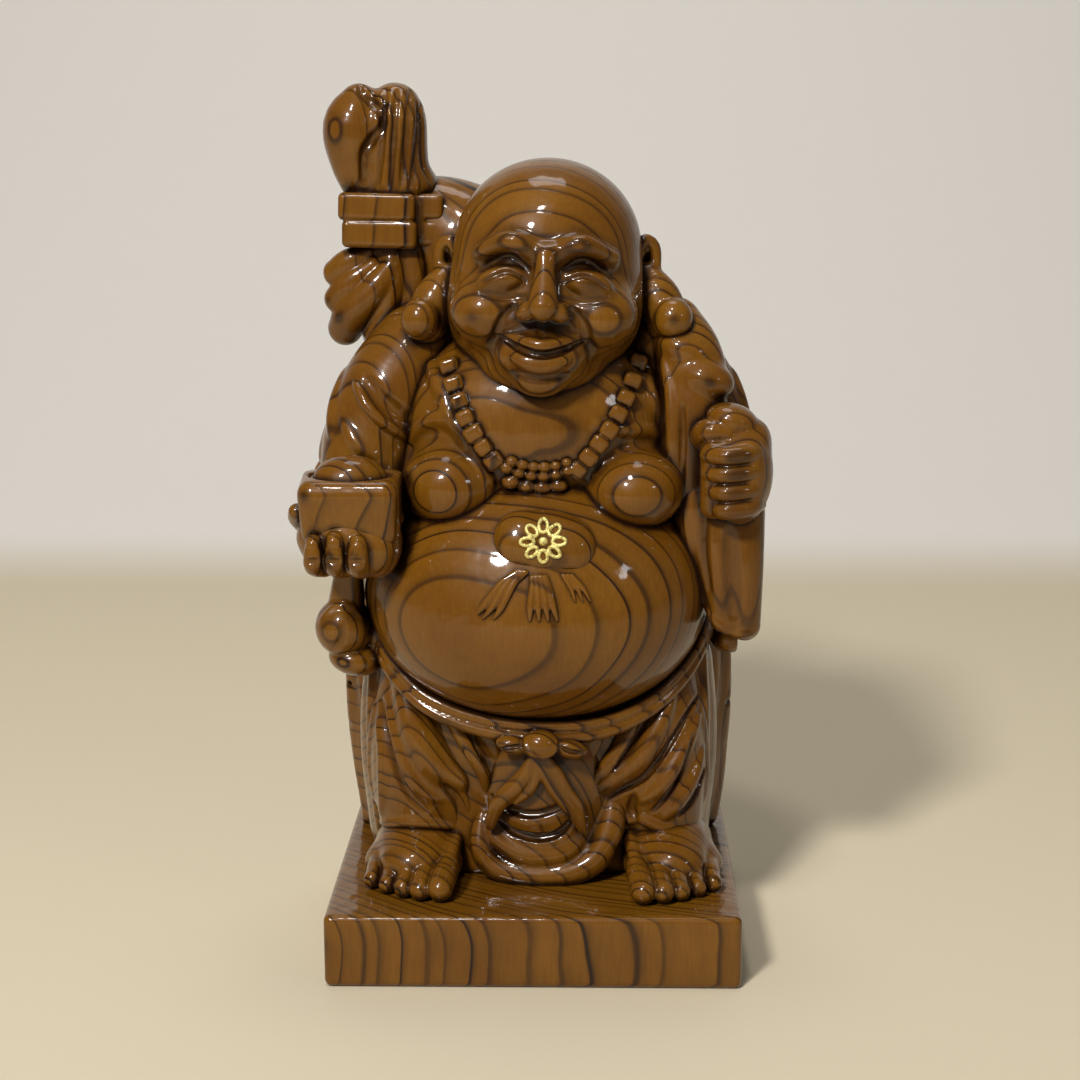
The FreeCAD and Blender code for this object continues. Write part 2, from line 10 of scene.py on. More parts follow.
import bpy
import numpy as np
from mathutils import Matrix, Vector


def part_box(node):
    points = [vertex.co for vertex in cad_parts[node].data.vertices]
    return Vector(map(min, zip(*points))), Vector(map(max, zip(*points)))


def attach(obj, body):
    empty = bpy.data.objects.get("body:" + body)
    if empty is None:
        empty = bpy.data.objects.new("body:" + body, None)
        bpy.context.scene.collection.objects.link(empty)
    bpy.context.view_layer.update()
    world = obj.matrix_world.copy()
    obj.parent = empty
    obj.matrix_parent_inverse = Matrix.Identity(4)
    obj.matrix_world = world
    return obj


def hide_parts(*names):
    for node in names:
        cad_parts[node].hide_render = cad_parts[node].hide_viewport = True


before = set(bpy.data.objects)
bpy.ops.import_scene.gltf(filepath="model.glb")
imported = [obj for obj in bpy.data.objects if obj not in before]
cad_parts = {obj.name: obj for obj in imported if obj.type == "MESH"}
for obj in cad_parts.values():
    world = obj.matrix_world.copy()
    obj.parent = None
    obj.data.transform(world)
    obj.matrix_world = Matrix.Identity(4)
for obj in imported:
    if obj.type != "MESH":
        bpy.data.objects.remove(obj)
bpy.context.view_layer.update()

MM = 0.001
FAR = 99.0  # the distance given where nothing is near
REACH = 4.0  # how far from a form its distance is still worked out
GRAIN_SCALE = 1
GRAIN_FINE, GRAIN_MIDDLE, GRAIN_COARSE = 0.32, 0.45, 0.6
PATH_STEP = 1.2
rng = np.random.default_rng(7)


# ------------ shapes as distances, in millimetres


def turned(degrees):
    """Rotation matrix for turns about x, then y, then z."""
    rx, ry, rz = (math.radians(a) for a in degrees)
    about_x = np.array([[1, 0, 0], [0, math.cos(rx), -math.sin(rx)], [0, math.sin(rx), math.cos(rx)]])
    about_y = np.array([[math.cos(ry), 0, math.sin(ry)], [0, 1, 0], [-math.sin(ry), 0, math.cos(ry)]])
    about_z = np.array([[math.cos(rz), -math.sin(rz), 0], [math.sin(rz), math.cos(rz), 0], [0, 0, 1]])
    return about_z @ about_y @ about_x


def local_grid(centre, matrix, axes):
    """Coordinates of the grid's points in a turned form's own axes."""
    x, y, z = axes
    dx = (x - centre[0])[:, None, None]
    dy = (y - centre[1])[None, :, None]
    dz = (z - centre[2])[None, None, :]
    return [matrix[0, i] * dx + matrix[1, i] * dy + matrix[2, i] * dz for i in range(3)]


def oval(centre, radii, turn=(0, 0, 0)):
    """An ellipsoid."""
    centre, radii, matrix = np.array(centre, float), np.array(radii, float), turned(turn)
    reach = np.sqrt((matrix**2) @ (radii**2))

    def distance(axes):
        local = local_grid(centre, matrix, axes)
        near = np.sqrt(sum((u / r) ** 2 for u, r in zip(local, radii)))
        slope = np.sqrt(sum((u / r**2) ** 2 for u, r in zip(local, radii)))
        return near * (near - 1) / np.maximum(slope, 1e-6)

    return centre - reach, centre + reach, distance


def slab(centre, half, turn=(0, 0, 0), edge=1.0):
    """A block with rounded edges."""
    centre, half, matrix = np.array(centre, float), np.array(half, float), turned(turn)
    reach = np.abs(matrix) @ half

    def distance(axes):
        local = local_grid(centre, matrix, axes)
        q = [np.abs(u) - (h - edge) for u, h in zip(local, half)]
        outside = np.sqrt(sum(np.maximum(u, 0) ** 2 for u in q))
        return outside + np.minimum(np.maximum(np.maximum(q[0], q[1]), q[2]), 0) - edge

    return centre - reach, centre + reach, distance


def smooth_path(points, step=PATH_STEP):
    """Points along a Catmull-Rom curve through the given rows; every column is carried along."""
    points = np.array(points, float)
    padded = np.vstack([2 * points[0] - points[1], points, 2 * points[-1] - points[-2]])
    route = []
    for a, b, c, d in zip(padded, padded[1:], padded[2:], padded[3:]):
        steps = max(2, int(np.linalg.norm((c - b)[:3]) / step) + 1)
        for t in np.arange(steps) / steps:
            square, cube = 2 * a - 5 * b + 4 * c - d, 3 * b - a - 3 * c + d
            route.append(0.5 * (2 * b + (c - a) * t + square * t**2 + cube * t**3))
    route.append(points[-1])
    return np.array(route)


def rope(points, radii, flat=(1, 1, 1), smooth=True):
    """A round or flattened limb along a smooth line; flat scales its thickness along x, y and z."""
    points = np.array(points, float)
    radii = np.broadcast_to(np.array(radii, float), (len(points),))
    route = np.column_stack([points, radii])
    if smooth:
        route = smooth_path(route)
    route[:, 3] = np.maximum(route[:, 3], 0.15)
    flat = np.array(flat, float)
    reach = route[:, 3:] * flat

    def distance(axes):
        field = np.full([len(a) for a in axes], FAR)
        for start, end in zip(route[:-1], route[1:]):
            girth = max(start[3], end[3]) * flat + REACH
            low = np.minimum(start[:3], end[:3]) - girth
            high = np.maximum(start[:3], end[:3]) + girth
            spans = [slice(*np.searchsorted(a, (lo, hi))) for a, lo, hi in zip(axes, low, high)]
            if any(s.stop <= s.start for s in spans):
                continue
            x, y, z = (a[s] for a, s in zip(axes, spans))
            offset = [
                ((x - start[0]) / flat[0])[:, None, None],
                ((y - start[1]) / flat[1])[None, :, None],
                ((z - start[2]) / flat[2])[None, None, :],
            ]
            line = (end[:3] - start[:3]) / flat
            along = sum(o * v for o, v in zip(offset, line)) / max(line @ line, 1e-9)
            along = np.clip(along, 0, 1)
            away = [o - along * v for o, v in zip(offset, line)]
            radius = start[3] + along * (end[3] - start[3])
            near = np.sqrt(sum(o**2 for o in away))
            slope = np.sqrt(sum((o / f) ** 2 for o, f in zip(away, flat)))
            part = near * (near - radius) / np.maximum(slope, 1e-6)
            inside = tuple(spans)
            field[inside] = np.minimum(field[inside], part)
        return field

    return (route[:, :3] - reach).min(0), (route[:, :3] + reach).max(0), distance


def blended(a, b, soft):
    """The smaller of two distances, rounded where they meet."""
    if soft <= 0:
        return np.minimum(a, b)
    near = np.maximum(soft - np.abs(a - b), 0) / soft
    return np.minimum(a, b) - near**2 * soft / 4


# ------------ clay: one carved piece


# Depth axis, axis across and the direction of sight along the depth axis, for each side
SIGHT = {"front": (1, 0, 1), "back": (1, 0, -1), "left": (0, 1, -1), "right": (0, 1, 1)}


class Clay:
    """One carved form as a distance field on a grid round its CAD node."""

    def __init__(self, node, grain=GRAIN_COARSE, room=4.0):
        low, high = (np.array(corner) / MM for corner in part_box(node))
        grain = grain * GRAIN_SCALE
        self.node, self.grain = node, grain
        self.mid, self.half = (low + high) / 2, (high - low) / 2
        self.low = low - room
        counts = np.ceil((high - low + 2 * np.array(room)) / grain).astype(int) + 1
        self.axes = [start + grain * np.arange(n) for start, n in zip(self.low, counts)]
        self.field = np.full(counts, FAR, np.float32)

    def merge(self, shape, soft, sign):
        low, high, distance = shape
        margin = soft + REACH
        ends = zip(self.axes, low - margin, high + margin)
        spans = [slice(*np.searchsorted(a, (lo, hi))) for a, lo, hi in ends]
        if any(s.stop - s.start < 2 for s in spans):
            return
        inside = tuple(spans)
        part = distance([a[s] for a, s in zip(self.axes, spans)]).astype(np.float32)
        self.field[inside] = sign * blended(sign * self.field[inside], part, soft)

    def add(self, shape, soft=1.0):
        self.merge(shape, soft, 1)

    def cut(self, shape, soft=1.0):
        self.merge(shape, soft, -1)

    def trim(self, axis, limit, keep, edge=1.0):
        """Saws the form off at a flat plane, and keeps what lies above it (1) or below it (-1)."""
        shape = [1, 1, 1]
        shape[axis] = -1
        plane = ((limit - self.axes[axis]) * keep).reshape(shape)
        self.field = (-blended(-self.field, -plane.astype(np.float32), edge)).astype(np.float32)

    def value(self, points):
        """The distance at free points, and FAR outside the grid."""
        u = (points - self.low) / self.grain
        counts = np.array(self.field.shape)
        known = np.all((u >= 0) & (u < counts - 1.001), axis=1)
        result = np.full(len(points), FAR)
        u = u[known]
        base = u.astype(int)
        t = u - base
        total = np.zeros(len(u))
        for corner in range(8):
            bits = np.array([corner & 1, corner >> 1 & 1, corner >> 2 & 1])
            weight = np.prod(np.where(bits, t, 1 - t), axis=1)
            i, j, k = (base + bits).T
            total += weight * self.field[i, j, k]
        result[known] = total
        return result

    def slope(self, points):
        """The outward direction of the field at free points."""
        step = self.grain * 0.75
        out = np.empty_like(points)
        for axis in range(3):
            shift = np.zeros(3)
            shift[axis] = step
            out[:, axis] = self.value(points + shift) - self.value(points - shift)
        return out / np.maximum(np.linalg.norm(out, axis=1, keepdims=True), 1e-6)

    def skin(self, side, line):
        """Where sight lines from one side first meet the form. A line's points are (across, height)."""
        axis, other, first = SIGHT[side]
        depths = self.axes[axis][::first]
        found = []
        for across, height in np.asarray(line, float)[:, :2]:
            probe = np.empty((len(depths), 3))
            probe[:, axis], probe[:, other], probe[:, 2] = depths, across, height
            values = self.value(probe)
            hits = np.nonzero(values < 0)[0]
            if len(hits) and hits[0] > 0:
                n = hits[0]
                share = values[n - 1] / (values[n - 1] - values[n])
                probe[n, axis] = depths[n - 1] + share * (depths[n] - depths[n - 1])
                found.append(probe[n])
        return np.array(found)

    def stroke(self, side, line, width, rise, soft=1.0, ends=0.35):
        """A ridge (rise above nought) or a groove (below) laid along the skin as seen from one side."""
        route = smooth_path(line, 1.0)
        points = self.skin(side, route)
        if len(points) < 3:
            return
        taper = np.sin(np.linspace(0, math.pi, len(points))) ** 0.5
        taper = ends + (1 - ends) * taper
        radii = width / 2 * taper
        inward = (radii - abs(rise) * taper)[:, None] * self.slope(points)
        shape = rope(points - math.copysign(1, rise) * inward, radii, smooth=False)
        self.merge(shape, soft, 1 if rise > 0 else -1)

    def strokes(self, rows, side="front"):
        """Several strokes: each is a line, then its width, rise, softness and share left at its ends."""
        for line, *how in rows:
            self.stroke(side, line, *how)

    def mesh(self):
        """Vertices and quads of the skin (surface nets), pulled on to the field and evened out."""
        field = self.field
        for axis in range(3):
            for end in (0, -1):
                edge = [slice(None)] * 3
                edge[axis] = end
                field[tuple(edge)] = np.maximum(field[tuple(edge)], self.grain)
        inside = field < 0
        size = np.array(field.shape)
        strides = np.array([size[1] * size[2], size[2], 1])
        cells, corners, quads = [], [], []
        for axis in range(3):
            head = [slice(None)] * 3
            tail = [slice(None)] * 3
            head[axis], tail[axis] = slice(None, -1), slice(1, None)
            head, tail = tuple(head), tuple(tail)
            edges = np.argwhere(inside[head] != inside[tail])
            if not len(edges):
                continue
            start = field[head][tuple(edges.T)]
            end = field[tail][tuple(edges.T)]
            crossing = edges.astype(float)
            crossing[:, axis] += start / (start - end)
            b, c = (axis + 1) % 3, (axis + 2) % 3
            ring = []
            for back_b, back_c in ((1, 1), (0, 1), (0, 0), (1, 0)):
                cell = edges.copy()
                cell[:, b] -= back_b
                cell[:, c] -= back_c
                ring.append(cell @ strides)
                cells.append(ring[-1])
                corners.append(crossing)
            ring = np.stack(ring, 1)
            outward = start < 0
            ring[~outward] = ring[~outward][:, ::-1]
            quads.append(ring)
        cells, corners, quads = np.concatenate(cells), np.concatenate(corners), np.concatenate(quads)
        used, index = np.unique(cells, return_inverse=True)
        count = np.bincount(index)
        points = np.stack([np.bincount(index, corners[:, i]) / count for i in range(3)], 1)
        points = self.low + points * self.grain
        quads = np.searchsorted(used, quads)
        for _ in range(2):
            points = self.settled(points)
            points = evened(points, quads)
        return self.settled(points), quads

    def settled(self, points):
        """Points moved on to the zero of the field."""
        step = np.clip(self.value(points), -self.grain, self.grain)
        return points - step[:, None] * self.slope(points)


def evened(points, quads, share=0.5):
    """Each point moved towards the middle of its neighbours."""
    pairs = np.concatenate([quads[:, [0, 1]], quads[:, [1, 2]], quads[:, [2, 3]], quads[:, [3, 0]]])
    ends = np.concatenate([pairs[:, 0], pairs[:, 1]])
    others = np.concatenate([pairs[:, 1], pairs[:, 0]])
    count = np.maximum(np.bincount(ends, minlength=len(points)), 1)
    middle = np.stack([np.bincount(ends, points[others, i], len(points)) / count for i in range(3)], 1)
    return points + share * (middle - points)


# ------------ the carved forms

PLINTH_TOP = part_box("plinth")[1].z / MM
clays = {}


def start(node, grain=GRAIN_COARSE, room=4):
    clays[node] = Clay(node, grain, room)
    return clays[node]


def carve_plinth():
    clay = start("plinth", 0.7, 2)
    clay.add(slab(clay.mid, clay.half, edge=1.6))


def carve_belly():
    clay = start("belly")
    clay.add(oval(clay.mid, clay.half))
    clay.add(oval(clay.mid + (0.5, -7, -8), (34, 25.5, 22)), 8)


def carve_chest():
    clay = start("chest", 0.5)
    clay.add(oval((0.7, -2, 131), (33.5, 22.5, 25.5)))
    clay.add(oval((-19.6, -14.2, 117.4), (12.8, 13.4, 10.4)), 3)
    clay.add(oval((-20.6, -20.2, 118.2), (8, 7.6, 7.8)), 2.5)
    clay.add(oval((24.2, -15, 116.6), (12.2, 13.6, 10)), 3)
    clay.cut(rope([(1.5, -29, 127), (1.5, -29, 117)], [3, 4]), 3)
    clay.strokes([
        ([(-31, 125.5), (-28, 131), (-23, 134), (-18.5, 132.5), (-14, 126), (-10, 119)], 4.5, 1.3, 1.2),
        ([(15, 133), (22, 131.5), (29, 130), (34, 124)], 3.5, 0.9, 1.2),
        ([(-30, 153), (-25.6, 146.5), (-22.3, 140.5), (-20, 135)], 4, 1.2, 1.5),
        ([(29, 150), (28, 142), (31, 134), (34, 128)], 4, 1.2, 1.5),
    ])


def carve_head():
    clay = start("head", 0.38, (4, 5, 6))
    middle = np.array([3, -6, 167.3])
    tilt = turned((0, 3, 0))

    def at(right, forward, up):
        return middle + tilt @ np.array([right, -forward, up])

    def line(points):
        return [tuple(at(u, 0, w)[[0, 2]]) for u, w in points]

    clay.add(oval(at(0, -1, 6), (22.6, 23, 21.7)))
    clay.add(oval(at(0, 1, -9), (23.4, 22.5, 17.5)), 8)
    clay.add(oval(at(0, 9, -21), (14, 13, 7)), 4)
    for s in (-1, 1):
        clay.cut(oval(at(s * 9.5, 27, 0.8), (6.6, 5.5, 4.4), (0, s * 6, 0)), 4)
        clay.add(rope([at(s * 2.6, 22.5, 7), at(s * 8.5, 22.6, 9), at(s * 15.5, 17.5, 6)], [1.8, 2.3, 1.4]),
                 3)
        clay.add(oval(at(s * 9.3, 19.9, 0.2), (5.8, 3.7, 3.1), (0, s * 6, 0)), 1)
        clay.add(oval(at(s * 13.5, 15, -8), (8.6, 9.2, 7.4)), 4)
        clay.strokes([
            (line([(s * 4, 0), (s * 9, 2.1), (s * 14.6, -0.7)]), 1.3, -0.9, 0.5),
            (line([(s * 3.6, 2.6), (s * 9, 5.2), (s * 15.4, 1.5)]), 1.5, -0.8, 0.8),
            (line([(s * 4.6, -3.6), (s * 9.3, -4.2), (s * 14.5, -3.2)]), 1.2, -0.5, 0.9),
        ])
    clay.add(rope([at(0, 23.6, 6), at(0, 25.6, 0.5), at(0, 27.4, -5.2)], [2, 2.5, 3.6]), 2.5)
    clay.add(rope([at(-5.5, 20, -17.5), at(0, 22.6, -16.5), at(5.5, 20, -17.5)], [4.6, 5.2, 4.6]), 4)
    for s in (-1, 1):
        clay.add(oval(at(s * 4, 25.4, -6.6), (2.7, 3.2, 2.4)), 1)
        clay.cut(oval(at(s * 2.1, 28.3, -9.3), (1.2, 1.9, 0.9)), 0.5)
        clay.stroke("front", line([(s * 5.6, -5.2), (s * 9.4, -9.5), (s * 11.2, -15)]), 1.7, -0.8, 1.6)
        clay.stroke("front", line([(s * 11, -13.4), (s * 11.9, -15.4), (s * 11.3, -17.2)]), 1.8, -0.8, 1.2)
    clay.strokes([
        (line([(0, -10.4), (0, -12.8)]), 2, -0.5, 1),
        (line([(-8.5, -13), (-4, -13.4), (0, -14), (4, -13.4), (8.5, -13)]), 2.6, 0.9, 1),
        (line([(-6.5, -17.6), (0, -19.6), (6.5, -17.6)]), 3.4, 1.2, 1.2),
        (line([(-10, -13.2), (-5, -15.3), (0, -16.3), (5, -15.3), (10, -13.2)]), 2.2, -1.7, 0.5),
    ])
    clay.add(oval(at(0, 20.5, -23), (5.6, 4.6, 4)), 3)
    clay.stroke("front", line([(-6, -21.2), (0, -22), (6, -21.2)]), 1.8, -0.6, 1.4)


def carve_ears():
    for node, s, base in (("right_ear", -1, 3), ("left_ear", 1, 3.2)):
        clay = start(node, GRAIN_FINE, (4, 5, 4))

        def at(out, y, z, s=s, base=base):
            return (base + s * out, y, z)

        clay.add(oval(at(23, 2.5, 169), (3.2, 5.5, 7.5), (0, s * 8, 0)))
        clay.cut(oval(at(24.6, -3.4, 168.5), (1.8, 3.6, 4.8), (0, s * 6, 0)), 0.6)
        shell = [at(21.6, -2.6, 171.5), at(23.4, -1.6, 175), at(25.7, -0.8, 173.5), at(26, -1.6, 168.6),
                 at(24.6, -3.4, 164)]
        clay.add(rope(shell, [1, 1.5, 1.6, 1.5, 1.6]), 0.6)
        clay.add(rope([at(24.2, -2, 166), at(27, -4.5, 161), at(29, -5.5, 155.8)], [3.8, 5.4, 5.2],
                      (1, 0.9, 1)), 1)
        clay.add(oval(at(30.3, -9.2, 156.8), (4.7, 4.7, 5.1)), 0.7)


def carve_robe_body():
    clay = start("robe_body")
    clay.add(oval(clay.mid + (0, 0, -3), clay.half + (0, -2, 0)))
    clay.add(oval((0, 8, 112), (46.5, 27, 46.5)), 2)
    clay.add(oval((48.4, 3, 75.4), (4.6, 6, 4.2), (0, 14, 0)), 0.8)
    for x in (-34, -24, -12):
        clay.stroke("back", [(x, 140), (x * 1.15, 118), (x * 1.2, 92)], 6, 1.1, 2.5)
    for y, bend in ((24, 3), (14, 2), (6, 0)):
        for side in ("right", "left"):
            clay.stroke(side, [(y, 122), (y + bend, 104), (y + bend, 84)], 5, 1, 2)


def carve_sleeves():
    clay = start("right_sleeve", 0.5)
    clay.add(rope([(-29, 4, 148), (-35.5, 0, 138.5), (-40, -2.5, 127), (-41.5, -4.5, 119)],
                  [11.5, 12.3, 12, 11.5]))
    clay.strokes([
        ([(-43.5, 141.5), (-40, 136.2), (-35.5, 131.8), (-30.5, 128)], 3, 1.5, 0.6),
        ([(-40.5, 142.5), (-36.5, 137.6), (-32, 133.6), (-28, 131)], 4.2, -1.5, 1.2),
        ([(-46.5, 133), (-43, 127.5), (-38.5, 124.5)], 3, 0.8, 1.4),
    ])
    clay.stroke("right", [(6, 140), (2, 130), (-4, 122)], 4, 1, 1.6)
    clay.stroke("right", [(0, 143), (-5, 135), (-10, 129)], 4, 1, 1.6)
    clay = start("left_sleeve", 0.5)
    clay.add(rope([(31, 4, 148), (37.5, 1, 138.5), (42, -1, 127), (43.5, -2.5, 119)], [11.5, 12, 11.5, 11]))
    clay.strokes([
        ([(6, 140), (2, 130), (-2, 120)], 4, 1, 1.6),
        ([(0, 143), (-4, 133), (-7, 124)], 4, 1, 1.6),
        ([(10, 132), (7, 122), (4, 114)], 4, 1, 1.6),
    ], "left")


def carve_right_hand():
    clay = start("right_cuff", GRAIN_MIDDLE)
    clay.add(rope([(-43, 0, 114.5), (-43.5, -9, 114), (-43.8, -18, 111.5)], [11.8, 11, 9.4]))
    clay.stroke("right", [(-2, 124), (-6, 114), (-6, 105)], 3.5, 0.9, 1.2)
    clay.stroke("right", [(-10, 123), (-13, 113), (-13, 105)], 3, 0.8, 1.2)

    clay = start("right_hand", GRAIN_FINE)
    clay.add(oval((-44.2, -24.5, 106.5), (12.3, 10.5, 8.4)))
    clay.add(oval((-44, -26, 101.8), (9.5, 8.5, 4.2)), 3)
    clay.add(oval((-36.8, -26, 104.6), (5.6, 8.4, 7.6)), 2)
    for x, top, girth in ((-51.2, 107.2, 2.3), (-46.2, 107.8, 2.5), (-40.8, 106.8, 2.6)):
        finger = [(x * 0.9 - 3.6, -29, 99.8), (x, -34, 101.4), (x, -35.4, 104.4), (x, -34.6, top)]
        clay.add(rope(finger, [girth, girth * 1.03, girth * 0.98, girth * 0.8]), 0.5)
        clay.cut(rope([(x - girth, -35.4 - girth, 103), (x + girth, -35.4 - girth, 103)], 0.95), 0.3)
        clay.add(oval((x, -34.6 - girth * 0.8, top - 0.7), (girth * 0.66, 0.9, 1.7)), 0.1)
    clay.add(rope([(-53.5, -20, 108), (-56, -24, 111), (-55.8, -28, 113.2)], [3, 2.4, 2]), 1)
    clay.add(rope([(-34, -18, 110), (-33.5, -26, 111.5), (-34.5, -31, 112.5)], [3, 2.6, 2]), 1)

    clay = start("ingot", GRAIN_FINE)
    clay.add(slab((-43.2, -25, 114.4), (12, 9.4, 8.4), (11, 0, 0), edge=3.8))
    clay.trim(2, 121.6, -1, 0.8)
    clay.cut(slab((-58.4, -25, 112), (3, 14, 14), (0, -10, 0)), 1.5)
    clay.cut(oval((-43.2, -25, 122.4), (10.6, 7.8, 3.6)), 0.8)
    clay.add(oval((-43.4, -24.5, 119.8), (9, 6.6, 6.3)), 0.6)


def carve_hanging_sleeve():
    clay = start("hanging_sleeve", GRAIN_MIDDLE)
    clay.add(rope([(-44, -13, 104), (-45.5, -11.5, 97), (-46.4, -10, 88)], [6, 3.6, 4.4]))
    clay.add(oval((-47.2, -10, 80.8), (7.2, 7.6, 7.4)), 1.2)
    clay.add(oval((-44.6, -9, 72.6), (6.8, 7, 4.3), (0, 10, 0)), 0.5)
    clay.add(rope([(-39.6, -8, 79), (-38.6, -7, 73)], [3.8, 3.2]), 1.2)
    clay.stroke("front", [(-52.5, 83.5), (-49.5, 86.5), (-45.5, 87), (-42.2, 84)], 2, 0.6, 0.8)
    clay.stroke("front", [(-50, 76), (-47, 79.5), (-46.5, 83)], 1.6, -0.6, 0.8)


def carve_left_arm():
    clay = start("shoulder_strap", GRAIN_MIDDLE, (5, 5, 8))
    clay.add(rope([(34, -1, 155), (37, -6, 148), (38.6, -9, 140), (38, -11, 131), (37, -12, 121),
                   (37, -12.5, 113)],
                  [6.5, 8, 8, 7.2, 6, 5], (1.05, 0.85, 1)))
    clay.add(oval((36.6, -9.5, 149.6), (6.6, 4.8, 4), (0, 18, 0)), 1.4)
    clay.add(oval((41.6, -11.5, 142.6), (6.8, 5.6, 4.6), (0, 20, 0)), 1.4)
    clay.stroke("front", [(31, 147), (32.5, 139), (33, 129), (32.5, 118)], 3.2, 1, 1)
    clay.stroke("front", [(35.5, 137), (35.8, 128), (35.4, 118)], 1.6, -0.8, 0.8)

    clay = start("left_drape", GRAIN_MIDDLE, (6, 4, 14))
    clay.add(rope([(38, -11, 122), (38.4, -12.4, 115), (38.6, -13, 104), (40.2, -13, 91)],
                  [2.4, 4.8, 4.5, 2.8]))
    clay.add(rope([(44.5, -14, 112), (44.5, -15, 99), (46.2, -15, 84.5)], [5.4, 5.2, 3.6]), 2.2)
    clay.add(rope([(50.5, -12.5, 110), (50.6, -14, 96), (51.4, -14.5, 82.6)], [5.6, 5.2, 3.9]), 2.2)
    clay.strokes([
        ([(40.4, 90), (43.5, 84.6), (48, 81), (53, 81)], 2.2, 0.7, 0.9),
        ([(41.4, 113), (41.2, 102), (42.4, 92)], 1.8, -0.8, 1.2),
        ([(46.8, 106), (47.6, 96), (48.4, 86)], 3, -0.5, 2),
    ])

    clay = start("left_hand", GRAIN_FINE)
    clay.add(oval((49.3, -16.5, 121), (8.2, 8.6, 13)))
    clay.add(slab((47, -18.5, 119.8), (7.2, 6.4, 9.4), edge=3), 2)
    for n, z in enumerate((126.2, 121.9, 117.5, 113.2)):
        end = 41.6 + 0.5 * n * n / 2
        clay.add(rope([(54.2, -19.4, z + 0.3), (51, -24, z + 0.2), (46, -25.4, z - 0.2),
                       (end, -23, z - 0.3)],
                      [1.6, 2.2, 2.25, 2.1]), 0.3)
    clay.add(rope([(40.5, -16, 129.5), (42, -19.5, 131), (46, -20.6, 130.8)], [3.4, 3.2, 2.2]), 0.8)
    clay.add(oval((47.5, -16, 133.4), (6.4, 6.4, 4), (0, 16, 0)), 0.8)
    clay.add(oval((52.8, -14.5, 127.5), (4.4, 6, 6), (0, 0, 0)), 1.2)


def carve_waist():
    clay = start("waistband", GRAIN_MIDDLE, 5)
    upper = [(-42, 0, 85), (-39.6, -8, 79), (-34.5, -15.5, 72.4), (-26, -21.2, 65.8), (-13, -24.6, 61.4),
             (2, -25.8, 59.8)]
    upper += [(16, -24.4, 60.6), (27.5, -20, 64.6), (36, -13.6, 70.8), (41, -7, 77.4), (43, 0, 83)]
    clay.add(rope(upper, [1.2] + [1.45] * 9 + [1.2]))
    lower = [(x, y - 0.5, z - 2.7) for x, y, z in upper]
    clay.add(rope(lower, [1.2] + [1.5] * 9 + [1.2]), 0.3)
    backing = [(x, y + 2.2, z - 1) for x, y, z in upper]
    clay.add(rope(backing, 2.6), 0.6)
    clay.add(oval((1.8, -26.6, 57.6), (5.2, 2, 1.1)), 0.6)

    clay = start("sash_knot", GRAIN_FINE)
    clay.add(oval((1.6, -28, 56.2), (4.6, 4, 3.6)))
    clay.add(oval((-5.2, -27.4, 55.8), (4, 2.8, 2.3), (0, 14, 0)), 0.4)
    clay.add(oval((9, -27.2, 54.8), (4.2, 2.8, 2.4), (0, 16, 0)), 0.4)
    clay.strokes([
        ([(-8, 55.2), (-5.2, 55.9), (-2.8, 56.2)], 1.2, -1.1, 0.3),
        ([(6.6, 55.8), (9, 54.8), (11.6, 54.4)], 1.2, -1, 0.3),
        ([(-2.2, 58.6), (-1.4, 55.8), (1.6, 54.1), (4.8, 54.9), (5.6, 57.4)], 1.7, 0.8, 0.4),
    ])

    clay = start("sash_tails", GRAIN_FINE)
    left = [(0.4, -26.6, 53), (-1.6, -26, 48.4), (-4.4, -25.4, 44.6), (-7.2, -24.8, 41.6),
            (-9.4, -24, 38.4), (-10.8, -22.6, 33.6)]
    clay.add(rope(left, [1.8, 2.1, 2.4, 2.3, 1.9, 1.2], (1, 0.75, 1)))
    loop = [(0.8, -26.6, 51), (0.6, -26.2, 46.8), (-1.4, -25.6, 43.2), (-4.4, -24.8, 40.6)]
    clay.add(rope(loop, [1.2, 1.3, 1.3, 1]), 0.4)
    for n in range(3):
        aside = 1.75 * (n - 1)
        tail = [(2 + aside * 0.5, -26.8, 53), (4 + aside, -26.4, 48.6), (6.4 + aside, -25.4, 43.6),
                (9.2 + aside * 0.9, -24.4, 39.4), (11.6 + aside * 0.4, -22.6, 33.4 - n)]
        clay.add(rope(tail, [1.1, 1.35, 1.4, 1.25, 0.7]), 0.25)


def carve_apron():
    clay = start("skirt_apron", GRAIN_MIDDLE, (5, 4, 3))
    clay.add(oval((2.6, -11.2, 44), (17.5, 12.8, 24)))
    clay.add(oval((2.6, -9, 26), (18, 12.5, 13)), 4)
    clay.add(oval((0.4, -17.8, 34.6), (8.4, 5.4, 3.4)), 1)
    clay.stroke("front", [(-10.5, 40), (-7.2, 37.4), (-0.7, 36.6), (5.7, 38.2), (8.5, 41)], 2.2, -1.6, 0.8)
    rim = [(-12.8, -15, 36), (-13.6, -18, 27.4), (-11, -19, 22.4), (-5, -20, 20.4), (2.4, -20.6, 19.9),
           (9.4, -20.2, 20.8)]
    rim += [(15.4, -18.8, 24.4), (18.6, -16.8, 31), (19.4, -14, 38.5), (17.5, -12.5, 44)]
    clay.add(rope(rim, [1.6, 2.6, 3, 3.1, 3.2, 3.4, 3.7, 3.7, 3.1, 1.8]), 1.2)
    inner = [(-10.9, -17.5, 33), (-9.4, -18.8, 28.8), (-4, -20, 25.6), (2.1, -20.3, 24.8),
             (8.4, -19.8, 26.4), (11.6, -18.2, 31)]
    clay.add(rope(inner, [1.3, 2.2, 2.6, 2.6, 2.3, 1.2]), 1.2)
    clay.stroke("front", [(-9.4, 34), (-5, 31.2), (1, 30.2), (6, 31.4), (9.2, 34.6)], 2.6, -2.2, 0.7)
    clay.trim(2, PLINTH_TOP, 1, 0.2)


